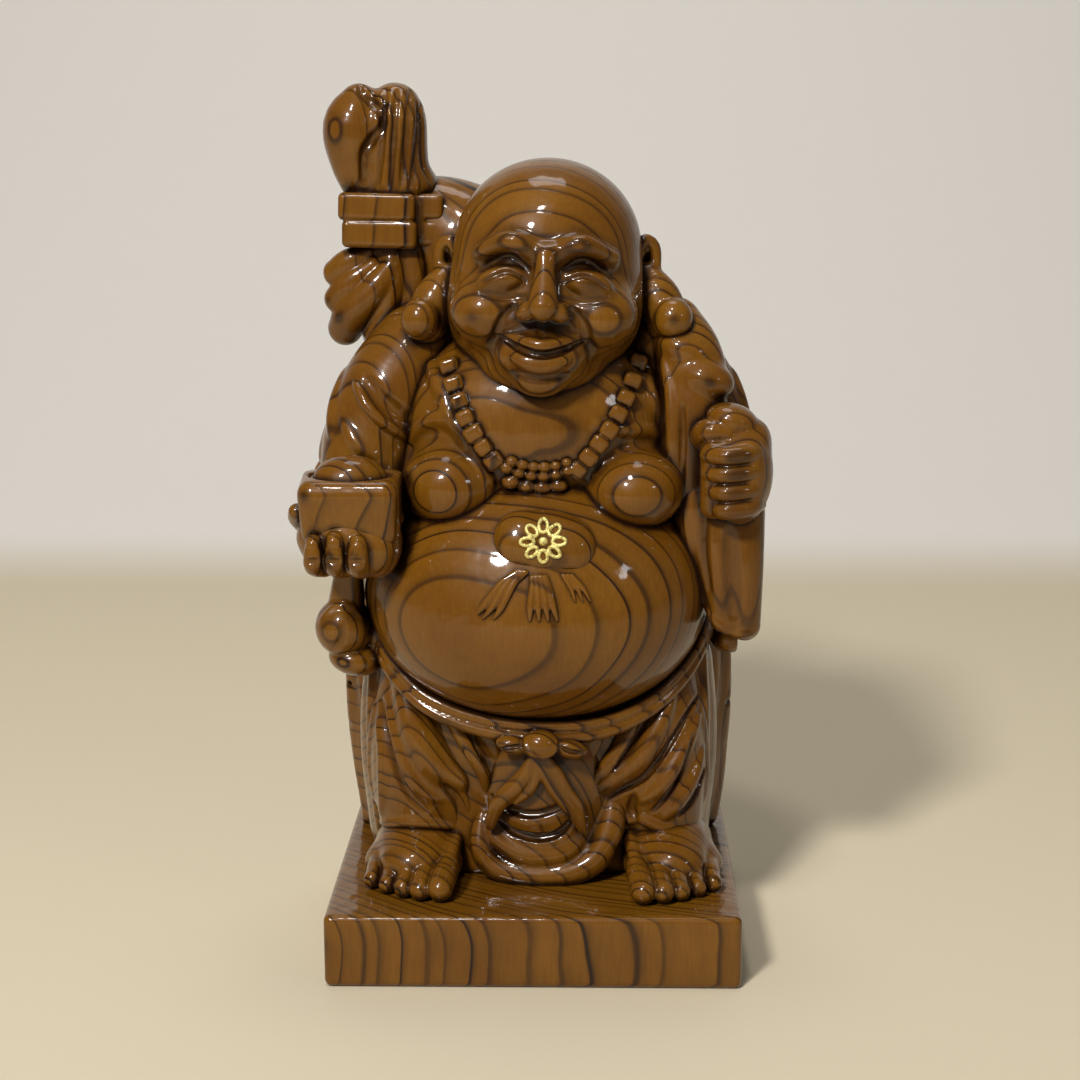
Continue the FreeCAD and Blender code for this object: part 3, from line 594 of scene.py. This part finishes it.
def carve_legs():
    right = start("right_trouser_leg", 0.5, (6, 4, 3))
    right.add(rope([(-25, -1, 70), (-26.4, -4.5, 56), (-28, -6, 43), (-29, -6.5, 33)],
                   [14.5, 14.6, 13.6, 11]))
    right.add(rope([(-13, -7, 68), (-13.6, -10, 56), (-14.6, -11, 46), (-17, -10, 34)], [10.5, 10, 8.5, 6]),
              4)
    right.trim(2, 28.2, 1, 2.2)
    right.strokes([
        ([(-26.5, 67), (-23.6, 59.5), (-19, 52), (-16, 46), (-14.6, 40), (-13.2, 33)], 4.6, -2.4, 1.2),
        ([(-34.5, 72), (-32.2, 64.5), (-30.2, 57.4), (-27, 51), (-23.6, 46.8), (-20, 44.4), (-16.4, 42.6)],
         7.4, 2.2, 1.6, 0.15),
        ([(-23, 66), (-20.6, 60), (-16, 52.4), (-12.6, 46.4), (-11.4, 40)], 4.6, 1.8, 0.9, 0.2),
        ([(-19.2, 63), (-14.8, 55), (-11, 48), (-8.6, 43.6)], 1.8, -1.6, 0.7),
        ([(-16, 63), (-12.6, 58), (-9.6, 52), (-7.6, 46)], 4.4, 1.7, 0.7, 0.2),
        ([(-38.4, 62), (-36.2, 54.8), (-34.2, 48), (-31.4, 41), (-27, 36)], 2.6, -1.3, 1.4),
        ([(-36.4, 61), (-34.4, 54), (-32, 47.4), (-28.4, 41.6), (-23.6, 38.4)], 3.4, 1.2, 1.2, 0.2),
        ([(-39.2, 57), (-38.2, 49), (-38.2, 41), (-38.8, 33)], 3, 1, 1.2),
        ([(-22.4, 43), (-18.9, 37.4), (-18, 30.5)], 2.2, -1.4, 0.9),
    ])
    right.cut(oval((-28.5, -20, 27), (9.5, 8, 3.6)), 0.8)
    right.stroke("front", [(-39, 29.8), (-35.5, 31.4), (-31, 32.4), (-26, 32), (-19, 29.8)], 3.4, 1.1, 0.8)
    right.stroke("right", [(-8, 60), (-6, 48), (-8, 36)], 4, 1.1, 1.4)

    left = start("left_trouser_leg", 0.5, (6, 4, 3))
    left.add(rope([(26, -1, 70), (27.5, -4.5, 56), (29.4, -6, 43), (31.5, -6.5, 33)],
                  [14.5, 14.6, 13.4, 10.8]))
    left.add(rope([(14, -7, 68), (15, -10, 56), (16.6, -11, 46), (20, -10, 35)], [10.5, 10, 8.5, 6]), 4)
    left.trim(2, 27.8, 1, 2.2)
    left.strokes([
        ([(21.2, 63), (18.8, 55), (15.9, 49), (12, 44.6), (9.4, 41.4)], 3, -2.2, 0.7),
        ([(25.6, 65), (23.2, 56), (19.6, 49.6), (15.4, 44.8), (11.4, 41)], 5, 1.7, 0.8, 0.2),
        ([(29, 67), (26.4, 58), (22.8, 51.2), (19.4, 46.6)], 2.2, -1.9, 0.6),
        ([(34, 67), (32, 60.6), (28.4, 53.6), (24, 47.8), (18.4, 43.4), (13.6, 40)], 5.8, 1.8, 0.9, 0.2),
        ([(41.6, 63.4), (38.4, 60.6), (34.4, 54.8), (29.9, 48.6), (26, 44.2), (20, 40.4), (15.4, 37.4)], 2,
         -1.7, 0.5),
        ([(41, 58.6), (38.4, 54), (34.6, 47.4), (30.6, 42), (26, 38.4)], 4.6, 1.5, 0.8, 0.2),
        ([(39.8, 55), (37.2, 48), (33.4, 41), (29, 35.8)], 1.8, -1.5, 0.6),
        ([(42, 50), (39.6, 44), (35.8, 38), (32, 34)], 4.4, 1.3, 0.8, 0.2),
        ([(42.6, 44.4), (39.4, 38), (35.6, 34.2)], 1.6, -1.2, 0.6),
        ([(24.6, 40), (24, 35.6), (26, 31.6)], 2.2, -1.3, 0.9),
        ([(22.6, 32.6), (27, 33.2), (31, 31.2), (36, 29.8), (42, 29.4)], 3.2, 1.1, 0.8),
    ])
    left.stroke("left", [(-8, 60), (-6, 48), (-8, 36)], 4, 1.1, 1.4)


def carve_robe_low():
    clay = start("robe_skirt")
    clay.add(oval((0.5, 2, 50), (45.5, 20.5, 66)))
    clay.trim(2, 80, -1, 2)
    clay.add(oval((0.5, -5, 52), (36, 15.5, 25)), 3)
    clay.add(slab((0.5, 9, 47), (44, 12, 31), edge=9), 3)
    clay.trim(2, PLINTH_TOP, 1, 0.3)
    for x in (-41.5, 42.5):
        clay.stroke("front", [(x * 0.99, 76), (x, 50), (x * 0.97, 24)], 3, 1, 1)

    clay = start("robe_tail")
    clay.add(oval((0, 25, 60), (50, 15, 106)))
    clay.trim(2, 96, -1, 6)
    clay.trim(2, PLINTH_TOP, 1, 0.3)
    for n in range(9):
        x = -44 + 11 * n
        sway = 2.2 * math.sin(2.1 * n)
        clay.stroke("back", [(x * 0.92, 93), (x + sway, 62), (x * 1.02 - sway, 38), (x * 1.05, 16)], 6.5,
                    1.5, 2.4)
    for side in ("right", "left"):
        for y, sway in ((18, 1), (24.5, -1), (31, 1)):
            clay.stroke(side, [(y, 90), (y + sway, 60), (y - sway, 40), (y, 16)], 4.5, 1.2, 1.6)
    for x, z in ((-49.6, 57), (-50.2, 45), (50, 52), (50.2, 40)):
        hem = [(x, 11, z), (x, 16, z - 0.8), (x * 1.005, 24, z + 0.6)]
        clay.cut(rope(hem, [0.9, 0.8, 0.5]), 0.9)


def carve_feet():
    for node, s, shift in (("right_foot", -1, -29.4), ("left_foot", 1, 33.4)):
        clay = start(node, GRAIN_FINE, (6, 4, 2.5))
        inner, outer = shift - s * 7.2, shift + s * 10.2
        clay.add(rope([(shift, 2, 25), (shift, -9, 26), (shift + s * 0.6, -19, 23.6)], [9.2, 10.2, 8.6],
                      (1, 1, 0.72)))
        clay.add(rope([(inner + s * 2, -16, 22.6), (outer - s * 3, -13, 21.6)], [6, 5.4], (1, 1, 0.75)), 3)
        clay.add(rope([(inner, -18, 21.5), (outer, -13, 20.6)], [3.6, 3.2]), 2)
        for n in range(5):
            share = n / 4
            x = inner + (outer - inner) * (share**0.92) + s * 0.4
            tip = -36.8 + 9.8 * share**1.6 - (1.2 if s > 0 else 0)
            girth = 3.1 - 1 * min(1, share * 1.6)
            height = PLINTH_TOP + girth + 0.2
            knuckle = (x - s * 0.6, tip + 7.5, height + 1.1)
            clay.add(rope([(x - s * 1.2, tip + 13, height + 1.4), knuckle, (x, tip + girth, height)],
                          [girth * 0.9, girth, girth]), 0.6)
            clay.add(rope([(x - s * 3.4 * (1 - share * 0.6), tip + 24, 28.6 - 3 * share), knuckle],
                          [1.6, 1.5]), 2.2)
            nail = (x, tip + girth * 0.75, height + girth * 0.62)
            clay.add(oval(nail, (girth * 0.6, 1.5, 0.9), (38, 0, 0)), 0.3)
        clay.trim(2, PLINTH_TOP, 1, 0.3)


def bead_line(points, spacing):
    """Places along a line on the chest and belly, evenly spaced."""
    route = smooth_path(points, 0.4)
    run = np.concatenate([[0], np.cumsum(np.linalg.norm(np.diff(route, axis=0), axis=1))])
    marks = np.arange(0, run[-1], spacing)
    return [tuple(np.interp(marks[n], run, route[:, i]) for i in range(2)) for n in range(len(marks))]


def skin_depth(x, z):
    """How far forward the chest, belly or pendant reaches at a place seen from the front."""
    depths = [clays[n].skin("front", [(x, z)]) for n in ("chest", "belly", "pendant") if n in clays]
    return min(float(d[0][1]) for d in depths if len(d))


def carve_ornaments():
    clay = start("pendant", GRAIN_FINE)
    clay.add(oval((2.8, -30.6, 106.2), (11.3, 5, 8), (-24, 0, 0)))
    clay.add(oval((-3, -30.8, 107.4), (6, 5, 6.4), (-24, 0, 0)), 2)
    clay.add(oval((9, -30.4, 104.8), (6, 5, 6.4), (-24, 0, 0)), 2)

    clay = start("pendant_tassels", GRAIN_FINE)
    curl = [(-2.5, 100.4), (-5.2, 98.4), (-7.2, 95.6), (-9.4, 92.2), (-11.4, 89.8)]
    brush = [(1.6, 99.2), (2.2, 96), (2.4, 92.6), (2.8, 89.6)]
    faint = [(8.4, 99.6), (10.6, 96.6), (12, 93.6)]
    for line, girth, count in ((curl, 0.85, 3), (brush, 0.9, 4), (faint, 0.6, 3)):
        for n in range(count):
            aside = (n - (count - 1) / 2) * 1.35
            points = []
            for m, (x, z) in enumerate(line):
                spread = 0.75 + 0.28 * m
                points.append((x + aside * spread, skin_depth(x + aside * spread, z) - 0.25, z))
            clay.add(rope(points, [girth] * (len(line) - 1) + [girth * 0.4]), 0.3)

    clay = start("necklace", GRAIN_FINE)
    right = [(-21.3, 150), (-19.6, 144.6), (-17.2, 137.6), (-14.2, 131.4), (-10.4, 126.2), (-7.4, 121.6)]
    left = [(25, 146.5), (22.4, 139.6), (18.6, 132.6), (14.2, 126.6), (10.4, 122)]
    for line in (right, left):
        places = bead_line(line, 4.05)
        for n, (x, z) in enumerate(places):
            before, after = places[max(n - 1, 0)], places[min(n + 1, len(places) - 1)]
            lean = math.degrees(math.atan2(after[0] - before[0], after[1] - before[1]))
            size = 1 + 0.08 * rng.uniform(-1, 1)
            depth = skin_depth(x, z)
            clay.add(slab((x, depth - 0.4, z), (2.25 * size, 2, 2.05), (0, lean, 0), edge=1.25), 0.15)
    rows = ((123.2, -5, 9.5, 2.6, 1.35), (121, -6.2, 10.6, 2.9, 1.6), (118, -5.2, 9.6, 3.75, 2.15))
    for z, low, high, step, girth in rows:
        for x in np.arange(low, high, step):
            bend = 0.03 * (x - 1.9) ** 2
            depth = skin_depth(x, z + bend)
            size = girth * (1 + 0.08 * rng.uniform(-1, 1))
            clay.add(oval((x, depth - 0.5, z + bend), (size * 1.08, size, size * 0.92)), 0.15)

    clay = start("gold_emblem", 0.2, 2.5)
    middle = np.array([2.65, 107.6])
    for n in range(8):
        angle = math.radians(90 + 45 * n)
        petal = []
        for t in np.linspace(0, 2 * math.pi, 13):
            out, across = 3.55 - 1.5 * math.cos(t), 0.95 * math.sin(t)
            x = middle[0] + 1.05 * (out * math.cos(angle) - across * math.sin(angle))
            z = middle[1] + 0.95 * (out * math.sin(angle) + across * math.cos(angle))
            petal.append((x, float(clays["pendant"].skin("front", [(x, z)])[0][1]) - 0.05, z))
        clay.add(rope(petal, 0.46), 0.1)
    centre = float(clays["pendant"].skin("front", [middle])[0][1])
    clay.add(oval((middle[0], centre, middle[1]), (1.1, 0.6, 1.1)), 0.2)


def carve_sack():
    clay = start("sack_mouth", GRAIN_MIDDLE)
    clay.add(rope([(-41.4, 12, 186), (-44, 11, 194), (-44.8, 10.6, 202), (-43.2, 10.8, 207.6)],
                  [5.4, 6.6, 7.4, 5], (1, 1.1, 1)))
    clay.add(rope([(-34.4, 13, 186), (-34.8, 12.6, 196), (-35.2, 12.2, 203), (-34.6, 12.2, 206.2)],
                  [8.4, 8.2, 8.4, 6.6], (1, 1.12, 1)), 1.6)
    clay.add(oval((-31, 14, 188), (6.8, 9, 4.4)), 3)
    clay.stroke("front", [(-42.6, 212), (-41.6, 209.6), (-38, 206.8), (-36.8, 203), (-39.6, 199),
                          (-41.4, 196), (-42, 189)],
                2, -1.3, 1.2)
    for x in (-37.2, -34.4, -31.4, -28.8):
        clay.stroke("front", [(x + 1, 211), (x + 0.6, 204), (x - 0.2, 196), (x - 1.2, 188)], 1.5, -0.8, 0.9)
    for x in (-44, -38, -32):
        clay.stroke("back", [(x, 209), (x + 1, 200), (x + 2, 189)], 1.8, -1, 1)
    for y in (8, 14, 19):
        clay.stroke("left", [(y, 208), (y, 198), (y, 189)], 1.6, -0.8, 0.8)

    clay = start("sack_tie", GRAIN_MIDDLE)
    for z, x, wide in ((183, -38.6, 9.4), (176.4, -38, 9.2)):
        clay.add(slab((x, 11.4, z), (wide, 10.4, 3.35), (0, 1.5, 0), edge=1.3), 0.2)
        clay.add(slab((-31, 14.5, z), (8.6, 9.8, 3.2), (0, 1.5, 0), edge=1.4), 0.2)
    clay.add(slab((-35.6, 13, 179.6), (8.8, 8.6, 5), edge=1.5), 0.2)

    clay = start("sack_gather", GRAIN_MIDDLE)
    clay.add(rope([(-36, 14, 175), (-35.5, 14, 164), (-36, 14, 152)], [8.5, 9, 8]))
    clay.add(rope([(-49.2, 9, 166.6), (-46, 7.6, 169.2), (-41.4, 7, 172)], [3.6, 3.5, 1.9]), 0.5)
    clay.add(rope([(-49, 8.4, 160.2), (-45.6, 6.8, 164), (-40, 6.2, 168.6)], [3.6, 3.7, 2.2]), 0.5)
    clay.add(rope([(-47.6, 10, 152.8), (-45, 7, 157.2), (-39.6, 5.4, 163), (-35.6, 5.6, 168.4)],
                  [4.4, 4.8, 3.9, 2.4]), 0.5)
    clay.add(rope([(-35.4, 8, 173), (-35.6, 7, 164), (-38.6, 8, 152)], [3.4, 3.9, 4.4]), 0.7)
    clay.add(rope([(-30.4, 8.6, 173), (-30, 8, 164), (-31.6, 8.4, 154)], [3.4, 3.7, 4]), 0.7)
    clay.add(rope([(-25.4, 11, 173), (-24.6, 11, 165), (-25, 12, 156)], [3.6, 4.4, 5]), 0.9)

    clay = start("sack_body", GRAIN_COARSE, (5, 4, 9))
    low, high = clay.mid - clay.half, clay.mid + clay.half
    girth = 26.3
    top = (low[0] + girth + 1, clay.mid[1] - 1.5, high[2] - girth)
    bottom = (high[0] - girth, clay.mid[1] - 1.5, low[2] + girth)
    clay.add(rope([top, bottom], [girth - 0.5, girth], smooth=False))
    clay.add(rope([(-31, 16, 180), (-22, 18, 176), (-8, 18, 166)], [9.5, 13.6, 18]), 5)
    for n, aside in enumerate((-18, -9, 0, 9, 18)):
        fold = [(-22 + aside * 0.5, 178 - abs(aside) * 0.3), (-6 + aside, 150 + aside * 0.2),
                (12 + aside * 1.1, 118), (26 + aside, 90)]
        clay.stroke("back", fold, 7, 1.4 if n % 2 else 1, 3)
    for aside in (-13, -4, 5, 14):
        fold = [(-22 + aside * 0.5, 172), (-6 + aside, 148), (8 + aside, 124)]
        clay.stroke("back", fold, 2.4, -0.9, 1.6)


for carve in (
    carve_plinth, carve_belly, carve_chest, carve_head, carve_ears, carve_robe_body, carve_sleeves,
    carve_right_hand, carve_hanging_sleeve, carve_left_arm, carve_waist, carve_apron, carve_legs,
    carve_robe_low, carve_feet, carve_ornaments, carve_sack,
):
    carve()


# ------------ materials


class Nodes:
    """A new material, and short hand for building its nodes."""

    def __init__(self, name):
        self.material = bpy.data.materials.new(name)
        self.material.use_nodes = True
        self.tree = self.material.node_tree
        self.place = self.make("ShaderNodeTexCoord").outputs["Object"]

    def fill(self, node, **inputs):
        """Links or sets a node's inputs; i0, i1 and so on stand for inputs known by their number."""
        for name, value in inputs.items():
            key = int(name[1:]) if name[0] == "i" and name[1:].isdigit() else name.replace("_", " ")
            if isinstance(value, bpy.types.NodeSocket):
                self.tree.links.new(value, node.inputs[key])
            else:
                node.inputs[key].default_value = value
        return node

    def make(self, kind, settings=None, **inputs):
        node = self.tree.nodes.new(kind)
        for name, value in (settings or {}).items():
            setattr(node, name, value)
        return self.fill(node, **inputs)

    def finished(self, **inputs):
        """The material, with its surface set."""
        self.fill(self.tree.nodes["Principled BSDF"], **inputs)
        return self.material

    def vector(self, operation, **inputs):
        return self.make("ShaderNodeVectorMath", {"operation": operation}, **inputs).outputs[0]

    def split(self, vector):
        return self.make("ShaderNodeSeparateXYZ", None, Vector=vector).outputs

    def maths(self, operation, a, b=0.0, clamp=False):
        return self.make("ShaderNodeMath", {"operation": operation, "use_clamp": clamp}, i0=a,
                         i1=b).outputs[0]

    def noise(self, vector, scale, detail, roughness, output=0):
        inputs = {"Vector": vector, "Scale": scale, "Detail": detail, "Roughness": roughness}
        return self.make("ShaderNodeTexNoise", None, **inputs).outputs[output]

    def eased(self, value, start, end, before=0.0, after=1.0):
        """Changes smoothly from before to after while the value goes from start to end."""
        inputs = {"Value": value, "From_Min": start, "From_Max": end, "To_Min": before, "To_Max": after}
        return self.make("ShaderNodeMapRange", {"interpolation_type": "SMOOTHSTEP"}, **inputs).outputs[0]

    def ramp(self, factor, *stops):
        """Greys at places along the factor."""
        node = self.make("ShaderNodeValToRGB", None, Fac=factor)
        ramp = node.color_ramp
        while len(ramp.elements) < len(stops):
            ramp.elements.new(0.5)
        for element, (place, grey) in zip(ramp.elements, stops):
            element.position = place
            element.color = (grey, grey, grey, 1)
        return node.outputs[0]

    def mix(self, factor, a, b):
        return self.make("ShaderNodeMix", {"data_type": "RGBA"}, Factor=factor, i6=a, i7=b).outputs[2]

    def bump(self, strength, distance, height):
        node = self.make("ShaderNodeBump", None, Strength=strength, Distance=distance, Height=height)
        return node.outputs[0]


def shade(hex_colour):
    """A colour as seen on screen, turned into the linear values that shaders use."""
    parts = [int(hex_colour[i : i + 2], 16) / 255 for i in (1, 3, 5)]
    return (*(p / 12.92 if p <= 0.04045 else ((p + 0.055) / 1.055) ** 2.4 for p in parts), 1)


LIGHT_WOOD, MIDDLE_WOOD, DEEP_WOOD = "#7a5011", "#653d08", "#4a2b05"
# The last colour here is painted into the creases: shade together with stain
RING_LINE, CREASE_STAIN_AND_SHADE = "#200e04", "#1a0903"
GOLD_THIN, GOLD_THICK = "#8d7a34", "#e6d888"
# In millimetres: a ring's width, how far the rings sway, and the pith, which lies behind the block and
# leans across it between two heights
RING_WIDTH = 2.9
RING_SWAY = 11.0
PITH_BEHIND = 110
PITH_LOW, PITH_HIGH = 75, 22.5
LEAN_FROM, LEAN_TO = 10.0, 75.0
UNEVEN_YEARS = 3.4


def wood_material(name):
    """Lacquered wood whose growth rings are cylinders round a pith behind the block."""
    n = Nodes(name)
    in_mm = n.vector("SCALE", Vector=n.place, Scale=1 / MM)
    slow = n.noise(in_mm, 0.018, 1.5, 0.45, "Color")
    swing = n.vector("SUBTRACT", i0=slow, i1=(0.5, 0.5, 0.5))
    moved = n.split(n.vector("ADD", i0=in_mm, i1=n.vector("SCALE", Vector=swing, Scale=RING_SWAY)))
    pith = n.eased(n.split(in_mm)[2], LEAN_FROM, LEAN_TO, PITH_LOW, PITH_HIGH)
    across = n.maths("SUBTRACT", moved[0], pith)
    back = n.maths("SUBTRACT", moved[1], PITH_BEHIND)
    squares = n.maths("ADD", n.maths("MULTIPLY", across, across), n.maths("MULTIPLY", back, back))
    radius = n.maths("SQRT", squares)
    era = n.make("ShaderNodeCombineXYZ", None, X=n.maths("MULTIPLY", radius, 0.11)).outputs[0]
    years = n.maths("MULTIPLY", n.noise(era, 1.0, 2.0, 0.6), UNEVEN_YEARS)
    phase = n.maths("ADD", n.maths("DIVIDE", radius, RING_WIDTH), years)
    ring, year = n.maths("FRACT", phase), n.maths("FLOOR", phase)
    wander = n.make("ShaderNodeTexWhiteNoise", {"noise_dimensions": "1D"}, W=year).outputs[0]
    line = n.ramp(ring, (0.0, 0.75), (0.045, 0.12), (0.12, 0.0), (0.55, 0.06), (0.8, 0.32), (0.93, 1.0),
                  (1.0, 0.9))
    strength = n.maths("MULTIPLY", line, n.maths("ADD", n.maths("MULTIPLY", wander, 0.55), 0.55), True)

    patch = n.ramp(n.noise(in_mm, 0.035, 3.0, 0.55), (0.3, 0), (0.7, 1))
    along_grain = n.make("ShaderNodeMapping", None, Vector=in_mm, Scale=(1.6, 1.6, 0.16)).outputs[0]
    fibre = n.ramp(n.noise(along_grain, 1.0, 4.0, 0.65), (0.35, 0), (0.75, 1))
    base = n.mix(patch, shade(MIDDLE_WOOD), shade(LIGHT_WOOD))
    base = n.mix(n.maths("MULTIPLY", fibre, 0.38), base, shade(DEEP_WOOD))
    base = n.mix(strength, base, shade(RING_LINE))

    # Creases darken towards the crease colour by the hollow attribute, made patchy by noise: painted shade
    # together with real stain
    hollow = n.make("ShaderNodeAttribute", {"attribute_name": "hollow"}).outputs["Fac"]
    uneven_stain_and_shade = n.maths("ADD", n.maths("MULTIPLY", n.noise(in_mm, 0.6, 3.0, 0.6), 0.7), 0.65)
    stain_and_shade = n.ramp(n.maths("MULTIPLY", hollow, uneven_stain_and_shade), (0.12, 0), (0.75, 0.93))

    tool_marks = n.maths("MULTIPLY", n.noise(in_mm, 0.22, 1.0, 0.4), 0.8)
    bump = n.bump(0.2, 0.0012, n.maths("ADD", tool_marks, n.maths("MULTIPLY", line, -0.05)))
    rough = n.ramp(n.noise(in_mm, 0.25, 3.0, 0.5), (0.3, 0.30), (0.75, 0.46))
    return n.finished(Base_Color=n.mix(stain_and_shade, base, shade(CREASE_STAIN_AND_SHADE)), Roughness=rough, IOR=1.45,
                      Specular_IOR_Level=0.15, Coat_Weight=0.75, Coat_Roughness=0.07, Coat_IOR=1.42,
                      Normal=bump, Coat_Normal=bump)


def gilding_material():
    """Brushed-on gold paint, thin and broken, over the wood."""
    n = Nodes("gold_paint")
    in_mm = n.vector("SCALE", Vector=n.place, Scale=1 / MM)
    worn = n.ramp(n.noise(in_mm, 1.1, 4.0, 0.7), (0.36, 0), (0.5, 1))
    rough = n.ramp(n.noise(in_mm, 2.0, 3.0, 0.6), (0.3, 0.28), (0.7, 0.55))
    bump = n.bump(0.6, 0.0003, n.noise(in_mm, 2.4, 3.0, 0.6))
    return n.finished(Base_Color=n.mix(worn, shade(GOLD_THIN), shade(GOLD_THICK)), Roughness=rough,
                      Metallic=0.55, Normal=bump)


# ------------ meshes

CARVED = ("carved_wood", wood_material("carved_wood"))
OTHER_SLOTS = {
    "plinth": ("plinth_wood", wood_material("plinth_wood")),
    "gold_emblem": ("gilding", gilding_material()),
}
# Pieces that get less of the painted crease darkening, which is shade together with stain
CREASE_SHADE_AND_STAIN_SHARE = {"plinth": 0.15, "right_trouser_leg": 0.75, "left_trouser_leg": 0.75, "robe_skirt": 0.75}


def placed(name, data):
    """A new object in the scene."""
    thing = bpy.data.objects.new(name, data)
    bpy.context.scene.collection.objects.link(thing)
    return thing


def hollowness(points, normals):
    """How enclosed each point is, from nought on an open skin to one in a deep crease; creases are darkened
    by it as painted shade together with stain.
    """
    total = np.zeros(len(points))
    for away, weight in ((0.8, 0.35), (2.0, 0.4), (3.8, 0.35)):
        probe = points + normals * away
        nearest = np.full(len(points), away)
        for clay in clays.values():
            nearest = np.minimum(nearest, clay.value(probe))
        total += weight * np.clip((away - nearest) / away, 0, 1)
    return np.clip(total, 0, 1)


def build(node, clay):
    """The piece that takes the CAD node's place."""
    points, quads = clay.mesh()
    mesh = bpy.data.meshes.new("carved_" + node)
    mesh.vertices.add(len(points))
    mesh.vertices.foreach_set("co", (points * MM).astype(np.float32).ravel())
    mesh.loops.add(quads.size)
    mesh.loops.foreach_set("vertex_index", quads.astype(np.int32).ravel())
    mesh.polygons.add(len(quads))
    mesh.polygons.foreach_set("loop_start", np.arange(0, quads.size, 4, dtype=np.int32))
    mesh.update(calc_edges=True)
    mesh.validate()
    mesh.polygons.foreach_set("use_smooth", np.ones(len(mesh.polygons), bool))
    # The hollow attribute drives the painted shade and stain in the creases
    hollow = CREASE_SHADE_AND_STAIN_SHARE.get(node, 1.0) * hollowness(points, clay.slope(points))
    mesh.attributes.new("hollow", "FLOAT", "POINT").data.foreach_set("value", hollow.astype(np.float32))
    piece = placed("carved_" + node, mesh)
    slot, material = OTHER_SLOTS.get(node, CARVED)
    mesh.materials.append(material)
    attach(piece, "root")
    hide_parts(node)


for node, clay in clays.items():
    build(node, clay)


# ------------ room, lights and camera, in metres

ROOM_NEAR, ROOM_BEND, ROOM_FAR = -1.6, 0.50, 1.30
ROOM_TOP, ROOM_HALF_WIDTH = 2.2, 2.2
BEND_PARTS = 16
PAINT_NEAR, PAINT_FAR = "#cfc3a8", "#ece7df"
PAINT_CHANGES = (0.38, 0.52)

# Place, target, size, power in watts and colour
AIM = (0, 0, 0.1)
LIGHTS = {
    "key": ((-0.47, -1.04, 0.98), AIM, 0.2, 18.5, (1.0, 0.98, 0.96)),
    "lamp": ((-0.10, -0.49, 0.97), AIM, 0.12, 2.3, (1.0, 0.99, 0.97)),
    "fill": ((0.9, -0.7, 0.6), AIM, 0.12, 0.5, (0.97, 0.98, 1.0)),
    "wall_wash": ((0, 0.35, 1.7), (0, 1.25, 0.3), 0.8, 7.0, (1.0, 0.99, 0.98)),
}
AMBIENT_COLOUR, AMBIENT_STRENGTH = (0.95, 0.96, 1.0, 1), 0.10

# The view that the plinth's six visible corners gave, with its angles in degrees
CAMERA_PLACE = (0.01323, -0.52681, 0.20837)
CAMERA_DOWN, CAMERA_ROLL, CAMERA_ASIDE = 11.549, 0.174, 1.284
LENS, SENSOR = 71.72, 36.0


def room_material():
    """Matt paint that grows paler between two depths behind the statue."""
    n = Nodes("room_paint")
    paler = n.eased(n.split(n.place)[1], *PAINT_CHANGES)
    return n.finished(Base_Color=n.mix(paler, shade(PAINT_NEAR), shade(PAINT_FAR)), Roughness=0.9)


def make_room():
    """A pale floor, paler from a line behind the statue, that sweeps up into a far wall."""
    profile = [(ROOM_NEAR, 0.0), (ROOM_BEND, 0.0)]
    radius = ROOM_FAR - ROOM_BEND
    for n in range(1, BEND_PARTS + 1):
        angle = math.pi / 2 * n / BEND_PARTS
        profile.append((ROOM_BEND + radius * math.sin(angle), radius * (1 - math.cos(angle))))
    profile.append((ROOM_FAR, ROOM_TOP))
    verts = [(x, y, z) for y, z in profile for x in (-ROOM_HALF_WIDTH, ROOM_HALF_WIDTH)]
    faces = [(2 * n, 2 * n + 1, 2 * n + 3, 2 * n + 2) for n in range(len(profile) - 1)]
    mesh = bpy.data.meshes.new("room")
    mesh.from_pydata(verts, [], faces)
    mesh.polygons.foreach_set("use_smooth", [True] * len(faces))
    room = placed("room", mesh)
    mesh.materials.append(room_material())


def make_lights():
    for name, (place, target, size, power, colour) in LIGHTS.items():
        data = bpy.data.lights.new(name, "AREA")
        data.shape, data.size, data.energy, data.color = "DISK", size, power, colour
        light = placed(name, data)
        light.location = place
        light.rotation_euler = (Vector(target) - Vector(place)).to_track_quat("-Z", "Y").to_euler()
    world = bpy.data.worlds.new("soft_room_light")
    bpy.context.scene.world = world
    world.use_nodes = True
    sky = world.node_tree.nodes["Background"].inputs
    sky["Color"].default_value, sky["Strength"].default_value = AMBIENT_COLOUR, AMBIENT_STRENGTH


def make_camera():
    data = bpy.data.cameras.new("camera")
    data.lens, data.sensor_width = LENS, SENSOR
    data.clip_start, data.clip_end = 0.05, 10
    camera = placed("camera", data)
    camera.location = CAMERA_PLACE
    camera.rotation_euler = [math.radians(a) for a in (90 - CAMERA_DOWN, CAMERA_ROLL, CAMERA_ASIDE)]
    bpy.context.scene.camera = camera


make_room()
make_lights()
make_camera()
bpy.context.scene.view_settings.view_transform = "Standard"
